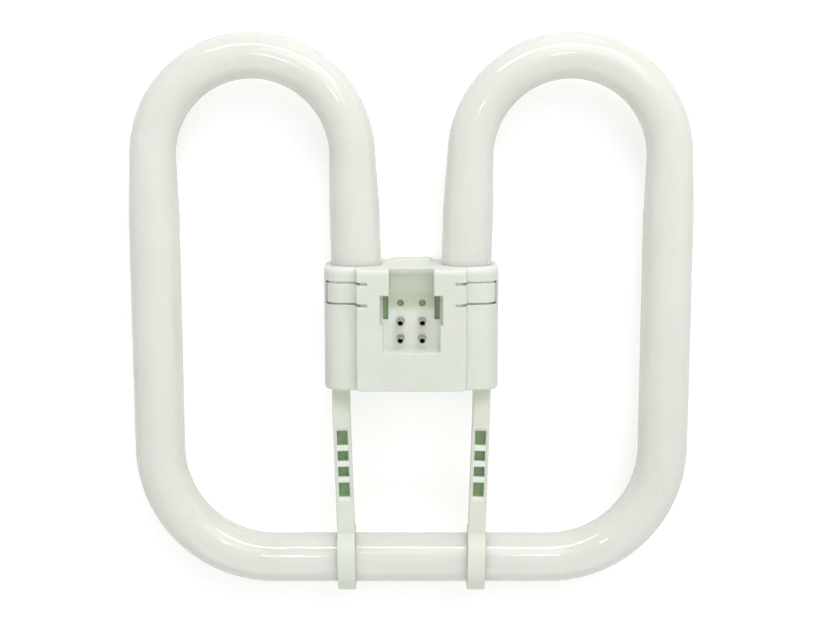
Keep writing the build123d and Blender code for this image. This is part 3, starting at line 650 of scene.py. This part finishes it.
def plastic_material(name, masks):
    """Plastic with grain and clouds. masks holds pairs of a tone and the mask(tree, point) of its share."""
    material, tree, shader = new_material(name)
    point = add(tree, "ShaderNodeTexCoord").outputs["Object"]
    height, clouds = grain(tree, point, PLASTIC_PIT_SCALE, PLASTIC_WAVE_SCALE)
    colour = blend_colours(tree, fade(tree, clouds, 0.3, 0.7), PLASTIC_DARK, PLASTIC_LIGHT)
    warmth = noise(tree, point, PLASTIC_WARMTH_SCALE, 1.0)
    colour = blend_colours(tree, fade(tree, warmth, 0.45, 0.70, 0.0, 0.6), colour, PLASTIC_WARM)
    specks = dust(tree, point, PLASTIC_SPECK_SCALE, 0.02)
    colour = blend_colours(tree, calc(tree, "MULTIPLY", specks, 0.25), colour, PLASTIC_SPECK)
    for tone, mask in masks:
        colour = blend_colours(tree, mask(tree, point), colour, tone)
    put(shader.inputs["Base Color"], colour)
    put(shader.inputs["Roughness"], fade(tree, clouds, 0.25, 0.75, 0.29, 0.40))
    shader.inputs["Subsurface Weight"].default_value = 0.4
    shader.inputs["Subsurface Radius"].default_value = PLASTIC_SCATTER_MM
    shader.inputs["Subsurface Scale"].default_value = MM
    put(shader.inputs["Normal"], bump(tree, height, PLASTIC_GRAIN_HEIGHT, 0.5, MOULD_EDGE_RADIUS))
    return material


print("plastic runs from", PLASTIC_DARK[:3], "to", PLASTIC_LIGHT[:3])

# %% [markdown]
# ## Where shade and light are painted into the plastic
# The slots, the empty holes and the pockets of the stays get a deep green: painted shade in these hollows. The
# recess's floor and walls, the top rim, the slits and the bars between the stays' pockets get a paler tone:
# painted light. The ramp above the holes and the floor at its foot get darker tones: painted shade, where the
# ramp faces away from the light. These areas could be painted by hand or be separate materials. Masks worked
# out from the place of a point on the lamp follow its real sizes, and their edges can be as soft or as sharp as
# the real ones.

# %% Places on the cap and the stays
FLOOR_Z = 24.0 * MM
SLOT_X = 9.35 * MM
SLOT_HALF_WIDTH = 0.95 * MM
SLOT_DEPTH = 1.5 * MM
SLOT_TOP_Y = CAP_TOP_Y - 9.7 * MM
SLOT_BOTTOM_Y = SLOT_TOP_Y - 9.6 * MM
PIN_HALF_PITCH = 3.96 * MM
SPARE_HOLE_Y = CAP_TOP_Y - 13.4 * MM
SPARE_HOLE_RADIUS = 1.2 * MM
RECESS_HALF_WIDTH = 10.6 * MM
RECESS_BOTTOM_Y = CAP_TOP_Y - 30.0 * MM
RAMP_HALF_WIDTH = 8.2 * MM
RAMP_FOOT_Y = CAP_TOP_Y - 16.0 * MM
RAMP_STEP_Y = SLOT_TOP_Y
BLOCK_HALF_WIDTH = 20.1 * MM
BLOCK_FRONT_Z = 33.0 * MM
TOP_RIM_DEPTH = 2.6 * MM
TONGUE_Y = CAP_TOP_Y - 9.3 * MM
SLIT_OFF_TONGUE = 3.85 * MM
SLIT_ROOT_X = BLOCK_HALF_WIDTH - 4.6 * MM
SLIT_END_X = 30.55 * MM
SLIT_HALF_ON_BLOCK = 0.62 * MM
SLIT_HALF_ON_EAR = 0.42 * MM
CAP_BOTTOM_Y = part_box("cap_front_shell")[0].y
STAY_LINE_X = 26.05 * MM
WINDOWS_TOP_Y = CAP_BOTTOM_Y - 16.5 * MM
WINDOWS_BOTTOM_Y = WINDOWS_TOP_Y - 25.0 * MM
STRAP_FRONT_Z = AXIS_Z + 5.5 * MM
WINDOW_HALF_WIDTH = 1.95 * MM
WINDOW_FLOOR_Z = STRAP_FRONT_Z - 3.5 * MM
EDGE = 0.15 * MM
print("cap runs from", round(CAP_BOTTOM_Y / MM, 1), "to", round(CAP_TOP_Y / MM, 1), "mm along the lamp")

# %% [markdown]
# On the cap, each mask is a product of fades: one for each side of the area that it covers.

# %% Masks on the cap


def cap_pocket_shade(tree, point):
    """Share of painted shade on the cap, a deep green: the slots' walls and floors, and the empty holes."""
    x, y, z = split(tree, point)
    side = calc(tree, "ABSOLUTE", x)
    off_slot = calc(tree, "ABSOLUTE", calc(tree, "SUBTRACT", side, SLOT_X))
    in_width = fade(tree, off_slot, SLOT_HALF_WIDTH + 2 * EDGE, SLOT_HALF_WIDTH + EDGE / 2)
    below_end = fade(tree, y, SLOT_TOP_Y + 2 * EDGE, SLOT_TOP_Y + EDGE)
    above_end = fade(tree, y, SLOT_BOTTOM_Y - 2 * EDGE, SLOT_BOTTOM_Y - EDGE)
    in_slot = product(tree, in_width, below_end, above_end)
    below_floor = fade(tree, z, FLOOR_Z, FLOOR_Z - EDGE)
    above_slot_floor = fade(tree, z, FLOOR_Z - SLOT_DEPTH - 2 * EDGE, FLOOR_Z - SLOT_DEPTH - EDGE)
    along_x = calc(tree, "SUBTRACT", side, PIN_HALF_PITCH)
    along_y = calc(tree, "SUBTRACT", y, SPARE_HOLE_Y)
    squares = calc(tree, "ADD", product(tree, along_x, along_x), product(tree, along_y, along_y))
    reach = calc(tree, "SQRT", squares)
    in_hole = fade(tree, reach, SPARE_HOLE_RADIUS + 2 * EDGE, SPARE_HOLE_RADIUS + EDGE / 2)
    # painted shade: darker at a hole's wall than at its lit bottom
    hole_share = fade(tree, reach, 0.3 * MM, 0.95 * MM, 0.55, 1.0)
    pocket = calc(tree, "MAXIMUM", in_slot, calc(tree, "MULTIPLY", in_hole, hole_share))
    return product(tree, pocket, below_floor, above_slot_floor)


def cap_painted_light(tree, point):
    """Share of painted light on the cap, a paler tone: the recess's floor and walls, the top rim and the slits.
    """
    x, y, z = split(tree, point)
    side = calc(tree, "ABSOLUTE", x)
    in_width = fade(tree, side, RECESS_HALF_WIDTH, RECESS_HALF_WIDTH - EDGE)
    in_length = fade(tree, y, RAMP_FOOT_Y + 2 * MM, RAMP_FOOT_Y - 3 * MM)
    above_bottom = fade(tree, y, RECESS_BOTTOM_Y - EDGE, RECESS_BOTTOM_Y)
    below_mouth = fade(tree, z, BLOCK_FRONT_Z - 0.4 * MM, BLOCK_FRONT_Z - 1.6 * MM)
    recess = product(tree, in_width, in_length, above_bottom, below_mouth)
    top_rim = fade(tree, y, CAP_TOP_Y - TOP_RIM_DEPTH, CAP_TOP_Y - 1.2 * MM)
    off_tongue = calc(tree, "ABSOLUTE", calc(tree, "SUBTRACT", y, TONGUE_Y))
    off_slit = calc(tree, "ABSOLUTE", calc(tree, "SUBTRACT", off_tongue, SLIT_OFF_TONGUE))
    block_edge = (BLOCK_HALF_WIDTH - EDGE, BLOCK_HALF_WIDTH)
    half_slit = fade(tree, side, *block_edge, SLIT_HALF_ON_BLOCK, SLIT_HALF_ON_EAR)
    slit = calc(tree, "LESS_THAN", off_slit, half_slit)
    past_root = calc(tree, "GREATER_THAN", side, SLIT_ROOT_X)
    short_of_end = calc(tree, "LESS_THAN", side, SLIT_END_X)
    in_front = calc(tree, "GREATER_THAN", z, AXIS_Z)
    slit = product(tree, slit, past_root, short_of_end, in_front)
    return calc(tree, "MAXIMUM", calc(tree, "MAXIMUM", recess, top_rim), slit)


def within_ramp(tree, x):
    """Mask of what is no further from the middle than the ramp's sides."""
    return fade(tree, calc(tree, "ABSOLUTE", x), RAMP_HALF_WIDTH + 2 * EDGE, RAMP_HALF_WIDTH)


def cap_ramp_shade(tree, point):
    """Share of painted shade on the cap, a darker tone: the recess's ramp, and its floor as far as the empty
    holes.
    """
    x, y, z = split(tree, point)
    above_foot = fade(tree, y, RAMP_FOOT_Y - 2 * MM, RAMP_FOOT_Y + 2.6 * MM)
    below_lip = fade(tree, y, CAP_TOP_Y - 1.0 * MM, CAP_TOP_Y - 2.0 * MM)
    below_mouth = fade(tree, z, BLOCK_FRONT_Z - 0.5 * MM, BLOCK_FRONT_Z - 1.2 * MM)
    return product(tree, within_ramp(tree, x), above_foot, below_lip, below_mouth)


def cap_foot_shade(tree, point):
    """Share of painted shade on the cap, a dimmer tone: the recess's floor between the ramp and the empty holes.
    """
    x, y, z = split(tree, point)
    above_holes = fade(tree, y, RAMP_FOOT_Y - 0.4 * MM, RAMP_FOOT_Y + 3.4 * MM)
    below_ramp = fade(tree, y, RAMP_STEP_Y + 0.8 * MM, RAMP_STEP_Y - 0.6 * MM)
    at_floor = fade(tree, z, FLOOR_Z + 2 * EDGE, FLOOR_Z + EDGE / 2)
    return product(tree, within_ramp(tree, x), above_holes, below_ramp, at_floor)


# Painted shade on the ramp, its foot and the slots and holes; painted light in the recess, rim and slits.
cap_tones = [(PLASTIC_RAMP_SHADE, cap_ramp_shade), (PLASTIC_PAINTED_LIGHT, cap_painted_light), (PLASTIC_FOOT_SHADE, cap_foot_shade)]
cap_tones += [(PLASTIC_POCKET_SHADE, cap_pocket_shade)]
cap_material = plastic_material("cap_plastic", cap_tones)
print("tones on the cap:", len(cap_tones))

# %% [markdown]
# The pockets lean with the straps, so on a stay the distance is taken from the strap's own middle line.

# %% Masks on the stays


def off_strap_line(tree, x, y):
    """Distance across from a strap's middle line, which leans outwards by SLOPE as y goes up."""
    lean = calc(tree, "MULTIPLY", calc(tree, "SUBTRACT", y, CAP_BOTTOM_Y), SLOPE)
    line = calc(tree, "ADD", lean, STAY_LINE_X)
    return calc(tree, "ABSOLUTE", calc(tree, "SUBTRACT", calc(tree, "ABSOLUTE", x), line))


def stay_pocket_shade(tree, point):
    """Share of painted shade on a stay, a deep green: inside the pockets, from their floors to just below the
    strap's front.
    """
    x, y, z = split(tree, point)
    off_line = off_strap_line(tree, x, y)
    in_width = fade(tree, off_line, WINDOW_HALF_WIDTH + 2 * EDGE, WINDOW_HALF_WIDTH + EDGE / 2)
    below_front = fade(tree, z, STRAP_FRONT_Z - 0.5 * MM, STRAP_FRONT_Z - 1.3 * MM)
    above_back = fade(tree, z, WINDOW_FLOOR_Z - 0.4 * MM, WINDOW_FLOOR_Z - 0.2 * MM)
    below_first = fade(tree, y, WINDOWS_TOP_Y + 0.6 * MM, WINDOWS_TOP_Y + 0.2 * MM)
    above_last = fade(tree, y, WINDOWS_BOTTOM_Y - 0.6 * MM, WINDOWS_BOTTOM_Y - 0.2 * MM)
    return product(tree, in_width, below_front, above_back, below_first, above_last)


def stay_bar_light(tree, point):
    """Share of painted light on a stay, a paler tone: the bars between the pockets and a band under the last one.
    """
    x, y, _ = split(tree, point)
    off_line = off_strap_line(tree, x, y)
    in_width = fade(tree, off_line, WINDOW_HALF_WIDTH + 3 * EDGE, WINDOW_HALF_WIDTH - EDGE)
    below_first = fade(tree, y, WINDOWS_TOP_Y - 2.0 * MM, WINDOWS_TOP_Y - 3.0 * MM)
    above_last = fade(tree, y, WINDOWS_BOTTOM_Y - 1.8 * MM, WINDOWS_BOTTOM_Y - 1.2 * MM)
    return product(tree, in_width, below_first, above_last)


# Painted light on the bars between the pockets, painted shade inside the pockets.
stay_tones = [(PLASTIC_BAR_LIGHT, stay_bar_light), (PLASTIC_POCKET_SHADE, stay_pocket_shade)]
stay_material = plastic_material("stay_plastic", stay_tones)
print("tones on a stay:", len(stay_tones))

# %% [markdown]
# ## Shells and stays
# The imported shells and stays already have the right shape, apart from two small faults. Modelling them again
# would only bring new errors, so each is copied. Two functions first mend the faults: one lets the recess's
# ramp run into its floor, and one brings four square rib ends back onto the rear shell's round corners.

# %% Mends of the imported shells
ON_LIMIT = 0.02 * MM
RAMP_STEP = 0.1 * MM
BACK_WALL_Z = 1.3 * MM
BACK_CORNER_RADIUS = 9.0 * MM
BACK_CORNER_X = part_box("cap_rear_shell")[1].x - BACK_CORNER_RADIUS
BACK_CORNER_Z = BACK_WALL_Z + BACK_CORNER_RADIUS


def mesh_points(mesh):
    """Points of a mesh as an array with one row each."""
    points = np.empty(len(mesh.vertices) * 3)
    mesh.vertices.foreach_get("co", points)
    return points.reshape(-1, 3)


def close_ramp_step(mesh):
    """Lets the recess's ramp run into its floor.

    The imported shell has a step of 0.07 mm there, which shows as a dark line. Its points are those at the ramp's
    foot that lie less than RAMP_STEP above the floor, and they sink onto it.
    """
    points = mesh_points(mesh)
    height = points[:, 2] - FLOOR_Z
    on_step = (np.abs(points[:, 1] - RAMP_STEP_Y) < ON_LIMIT) & (height > 0) & (height < RAMP_STEP)
    points[:, 2] = np.where(on_step, FLOOR_Z, points[:, 2])
    mesh.vertices.foreach_set("co", points.ravel())
    print("points sunk to the recess floor:", int(on_step.sum()))


def press_rib_ends(mesh):
    """Brings the square ends of the rear shell's saddle ribs back onto its round back corners.

    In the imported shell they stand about 2 mm proud of the corners. A corner is an arc about a line along Y at
    (BACK_CORNER_X, BACK_CORNER_Z). A point outside the arc moves straight towards that line until it is on it.
    """
    points = mesh_points(mesh)
    across = np.abs(points[:, 0]) - BACK_CORNER_X
    up = points[:, 2] - BACK_CORNER_Z
    reach = np.hypot(across, up)
    proud = (across > 0) & (up < 0) & (reach > BACK_CORNER_RADIUS + ON_LIMIT)
    scale = np.where(proud, BACK_CORNER_RADIUS / reach, 1.0)
    points[:, 0] = np.where(proud, np.sign(points[:, 0]) * (BACK_CORNER_X + across * scale), points[:, 0])
    points[:, 2] = np.where(proud, BACK_CORNER_Z + up * scale, points[:, 2])
    mesh.vertices.foreach_set("co", points.ravel())
    print("points pressed back onto the corners:", int(proud.sum()))


print("rear corners turn about x", round(BACK_CORNER_X / MM, 2), "mm, z", round(BACK_CORNER_Z / MM, 2), "mm")

# %% [markdown]
# A copy gets its loose triangles joined and its flat faces made whole. Its sharp edges are then marked, and a
# Weighted Normal modifier lets the large faces shade flat right up to the small curves beside them. Moulded
# plastic never has a knife edge, so the finish above shades the sharp edges as if they were slightly rounded.

# %% Finished copies
MERGE_DISTANCE = 0.002 * MM
FLAT_TURN = math.radians(0.6)
SHARP_TURN = math.radians(32)


def mark_sharp_edges(mesh, angle):
    """Marks each edge as sharp where its two faces turn by more than the angle, or where it lacks two faces.

    The turn is above the angle where the dot product of the two normals is below the angle's cosine.
    """
    edge_of_loop = np.empty(len(mesh.loops), int)
    mesh.loops.foreach_get("edge_index", edge_of_loop)
    sizes = np.empty(len(mesh.polygons), int)
    mesh.polygons.foreach_get("loop_total", sizes)
    normals = np.empty(len(mesh.polygons) * 3)
    mesh.polygons.foreach_get("normal", normals)
    normal_of_loop = np.repeat(normals.reshape(-1, 3), sizes, axis=0)
    order = np.argsort(edge_of_loop, kind="stable")
    count = np.bincount(edge_of_loop, minlength=len(mesh.edges))
    first = np.cumsum(count) - count
    paired = count == 2
    turn = np.zeros(len(mesh.edges))
    one, other = order[first[paired]], order[first[paired] + 1]
    turn[paired] = np.sum(normal_of_loop[one] * normal_of_loop[other], axis=1)
    sharp = mesh.attributes.get("sharp_edge") or mesh.attributes.new("sharp_edge", "BOOLEAN", "EDGE")
    sharp.data.foreach_set("value", turn < math.cos(angle))
    mesh.update()


def finished_copy(node, name, material, slot, reshape=None):
    """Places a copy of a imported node, with whole flat faces and marked edges. reshape(mesh) mends it first."""
    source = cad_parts[node].data.copy()
    if reshape:
        reshape(source)
    work = bmesh.new()
    work.from_mesh(source)
    bpy.data.meshes.remove(source)
    bmesh.ops.remove_doubles(work, verts=work.verts[:], dist=MERGE_DISTANCE)
    bmesh.ops.dissolve_limit(work, angle_limit=FLAT_TURN, verts=work.verts[:], edges=work.edges[:])
    mesh = bpy.data.meshes.new(name)
    work.to_mesh(mesh)
    work.free()
    mesh.polygons.foreach_set("use_smooth", np.ones(len(mesh.polygons), bool))
    mark_sharp_edges(mesh, SHARP_TURN)
    piece = place_piece(name, mesh, material, slot, node)
    piece.modifiers.new("flat_faces_stay_flat", "WEIGHTED_NORMAL").keep_sharp = True


finished_copy("cap_front_shell", "front_shell", cap_material, "cap_plastic", close_ramp_step)
finished_copy("cap_rear_shell", "rear_shell", cap_material, "cap_plastic", press_rib_ends)
finished_copy("stay_left", "left_stay", stay_material, "stay_plastic")
finished_copy("stay_right", "right_stay", stay_material, "stay_plastic")

# %% [markdown]
# ## Ribs and beds in the latch slits
# Each latch tongue is freed by two slits, which run from the ear over the step onto the raised block, and one
# across its end. The photograph shows a pale bottom in them, not a dark gap, so something of the rear shell
# backs them. Behind the block that is a rib, a bent strip that follows the wall. On the ear it is a narrow
# bed that stands in the slit, deeper in the lower slits, which look darker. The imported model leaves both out.

# %% Slit ribs and beds
RIB_WIDTH = 2.6 * MM
RIB_THICKNESS = 0.7 * MM
RIB_LINE = np.array([  # x and z in mm: level behind the block's front, then down behind its side
    (14.4, 31.36), (17.3, 31.36), (17.9, 31.2), (18.25, 30.7), (18.75, 27.2), (18.9, 26.2),
]) * MM
BED_WIDTH = 0.68 * MM
BED_THICKNESS = 0.45 * MM
BED_START_X = 19.3 * MM
UPPER_BED_DEPTH = 0.9 * MM
LOWER_BED_DEPTH = 1.75 * MM
EAR_FRONT_Z = 28.0 * MM
EAR_CORNER_RADIUS = 7.0 * MM
EAR_CORNER_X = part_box("cap_front_shell")[1].x - EAR_CORNER_RADIUS
EAR_CORNER_Z = EAR_FRONT_Z - EAR_CORNER_RADIUS
EAR_TURNS = np.linspace(math.radians(90), math.radians(30), 9)
END_BED_LINE = np.array([(30.12, 24.3), (30.35, 24.3), (30.58, 24.3)]) * MM
END_BED_WIDTH = 7.0 * MM
CRISP_TURN = math.radians(40)


def bed_line(depth):
    """Line of a bed as x and z: level at a depth below the ear's front, then an arc round the ear's corner."""
    radius = EAR_CORNER_RADIUS - depth
    arc_x = EAR_CORNER_X + radius * np.cos(EAR_TURNS)
    arc_z = EAR_CORNER_Z + radius * np.sin(EAR_TURNS)
    arc = np.stack([arc_x, arc_z], axis=1)
    return np.concatenate([[(BED_START_X, EAR_FRONT_Z - depth)], arc])


def strip_points(line, side, y, width, thickness):
    """Rings of a bent strip: four corners for each point of its line, two of them a thickness further in.

    The inward direction at a point is the line's own direction turned by a quarter circle.
    """
    along = np.gradient(line, axis=0)
    along /= np.linalg.norm(along, axis=1, keepdims=True)
    inward = np.stack([along[:, 1], -along[:, 0]], axis=1)
    back = line + inward * thickness
    low, high = y - width / 2, y + width / 2
    corners = [(line, low), (line, high), (back, high), (back, low)]
    rings = np.stack([np.stack([side * edge[:, 0], np.full(len(edge), at), edge[:, 1]], axis=1)
                      for edge, at in corners], axis=1)
    return rings if side < 0 else rings[:, ::-1]


def place_strip(name, line, side, y, width, thickness):
    """Piece of cap plastic for one bent strip."""
    lengths = np.concatenate([[0], np.cumsum(np.linalg.norm(np.diff(line, axis=0), axis=1))])
    mesh = ring_mesh(name, strip_points(line, side, y, width, thickness), lengths)
    mesh.set_sharp_from_angle(angle=CRISP_TURN)
    place_piece(name, mesh, cap_material, "cap_plastic")


LEVELS = [("upper", SLIT_OFF_TONGUE, UPPER_BED_DEPTH), ("lower", -SLIT_OFF_TONGUE, LOWER_BED_DEPTH)]
for side, side_name in ((-1, "left"), (1, "right")):
    for level_name, offset, depth in LEVELS:
        slit_name, slit_y = f"{side_name}_{level_name}_slit", TONGUE_Y + offset
        place_strip(slit_name + "_rib", RIB_LINE, side, slit_y, RIB_WIDTH, RIB_THICKNESS)
        place_strip(slit_name + "_bed", bed_line(depth), side, slit_y, BED_WIDTH, BED_THICKNESS)
    place_strip(f"{side_name}_end_slit_bed", END_BED_LINE, side, TONGUE_Y, END_BED_WIDTH, BED_THICKNESS)

# %% [markdown]
# ## Metals
# The pins are plated brass and the wires are drawn. Both are plain metals whose tone and gloss vary a little,
# so one function makes them. The inside of a pin's bore has no plating and is dull and dark, and it is a
# metal as well.

# %% Metal finishes
METAL_PIT_SCALE = 3000.0
METAL_WAVE_SCALE = 700.0
METAL_GRAIN_HEIGHT = 0.02 * MM


def metal_material(name, light, dark, roughness):
    """Plated or drawn metal: faint clouds in its tone and in its roughness."""
    material, tree, shader = new_material(name)
    place = add(tree, "ShaderNodeTexCoord")
    height, clouds = grain(tree, place.outputs["Object"], METAL_PIT_SCALE, METAL_WAVE_SCALE)
    put(shader.inputs["Base Color"], blend_colours(tree, fade(tree, clouds, 0.3, 0.7), dark, light))
    put(shader.inputs["Roughness"], fade(tree, clouds, 0.2, 0.8, roughness, roughness + 0.12))
    shader.inputs["Metallic"].default_value = 1.0
    put(shader.inputs["Normal"], bump(tree, height, METAL_GRAIN_HEIGHT, 0.4))
    return material


pin_material = metal_material("pin_plating", (0.46, 0.46, 0.39, 1), (0.35, 0.35, 0.29, 1), 0.20)
bore_material = metal_material("oxidised_bore", (0.030, 0.026, 0.022, 1), (0.015, 0.013, 0.011, 1), 0.60)
wire_material = metal_material("drawn_wire", (0.62, 0.57, 0.50, 1), (0.50, 0.46, 0.40, 1), 0.35)
print("metals:", pin_material.name, bore_material.name, wire_material.name)

# %% [markdown]
# ## The turned pins
# A pin is turned on a lathe, and a Screw modifier could turn its outline in the same way. Here the outline
# goes through the same grid function as the glass: the tail for the wire, the flange behind the recess's
# floor, the collar in it, the bright shank with its crimp ring, and the deep bore in the tip.

# %% Turned pins
PIN_TIP_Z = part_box("contact_pin_1")[1].z / MM
PIN_TAIL_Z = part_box("contact_pin_1")[0].z / MM
PIN_REACH, FLOOR_THICKNESS = 6.7, 2.0
PIN_FLOOR_Z = PIN_TIP_Z - PIN_REACH
PIN_FLOOR_BACK_Z = PIN_FLOOR_Z - FLOOR_THICKNESS
TAIL, FLANGE, COLLAR, SHANK, CRIMP = 0.80, 2.00, 1.45, 1.175, 1.12  # radii in mm
PIN_COLUMNS = 64


def pin_profile():
    """Radius and height of a pin's outline, from the middle of the tail's end to the bore's bottom."""
    flange_back = PIN_FLOOR_BACK_Z - 0.8
    tail = [(0.02, PIN_TAIL_Z), (TAIL - 0.08, PIN_TAIL_Z), (TAIL, PIN_TAIL_Z + 0.08)]
    tail += [(TAIL, flange_back - 0.05)]
    flange = [(FLANGE - 0.08, flange_back), (FLANGE, flange_back + 0.08), (FLANGE, PIN_FLOOR_BACK_Z - 0.06)]
    flange += [(FLANGE - 0.06, PIN_FLOOR_BACK_Z)]
    collar = [(COLLAR, PIN_FLOOR_BACK_Z + 0.02), (COLLAR, PIN_FLOOR_Z - 0.02), (COLLAR - 0.07, PIN_FLOOR_Z)]
    shank = [(SHANK + 0.025, PIN_FLOOR_Z + 0.03), (SHANK, PIN_FLOOR_Z + 0.10), (SHANK, PIN_FLOOR_Z + 3.60)]
    shank += [(CRIMP, PIN_FLOOR_Z + 3.72), (CRIMP, PIN_FLOOR_Z + 4.02), (SHANK, PIN_FLOOR_Z + 4.14)]
    tip = [(SHANK, PIN_TIP_Z - 0.42), (1.12, PIN_TIP_Z - 0.22), (0.98, PIN_TIP_Z - 0.05), (0.90, PIN_TIP_Z)]
    bore = [(0.84, PIN_TIP_Z - 0.03), (0.80, PIN_TIP_Z - 0.12), (0.78, PIN_TIP_Z - 0.30)]
    bore += [(0.775, PIN_TIP_Z - 2.0), (0.76, PIN_TIP_Z - 4.2), (0.02, PIN_TIP_Z - 4.4)]
    return np.array(tail + flange + collar + shank + tip + bore) * MM


def turned_points(profile, x, y):
    """Rings of a turned piece: (x + r cos(turn), y + r sin(turn), height) for each point of its outline."""
    turn = np.linspace(0, 2 * math.pi, PIN_COLUMNS, endpoint=False)
    radius, height = profile[:, :1], profile[:, 1:]
    rings = [x + radius * np.cos(turn), y + radius * np.sin(turn), height + 0 * turn[None]]
    return np.stack(rings, axis=-1)


PROFILE = pin_profile()
PROFILE_LENGTH = np.concatenate([[0], np.cumsum(np.hypot(*np.diff(PROFILE, axis=0).T))])
BORE_START = int(np.argmax(PROFILE[:, 1])) + 1
for number in range(1, 5):
    node_low, node_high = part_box(f"contact_pin_{number}")
    middle = (node_low + node_high) / 2
    pin_mesh = ring_mesh(f"pin_{number}", turned_points(PROFILE, middle.x, middle.y), PROFILE_LENGTH)
    pin_mesh.materials.append(pin_material)
    pin_mesh.materials.append(bore_material)
    rows = np.arange(len(pin_mesh.polygons)) // PIN_COLUMNS
    inside = (rows >= BORE_START) & (rows < len(PROFILE) - 1) | (rows == len(PROFILE))
    pin_mesh.polygons.foreach_set("material_index", inside.astype(int))
    pin_mesh.set_sharp_from_angle(angle=CRISP_TURN)
    place_piece(f"turned_pin_{number}", pin_mesh, None, "pin_metal", f"contact_pin_{number}")

# %% [markdown]
# ## The lead wires
# Two bare wires run from each sealed end of the glass to the tails of two pins, inside the cap. The packed
# wires have their true shape, so they only get a finish.

# %% Dress the lead wires


def dress(node, material):
    """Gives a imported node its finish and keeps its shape."""
    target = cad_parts[node]
    target.data.materials.clear()
    target.data.materials.append(material)
    print(node, "wears", material.name)


for number in range(1, 5):
    dress(f"lead_wire_{number}", wire_material)
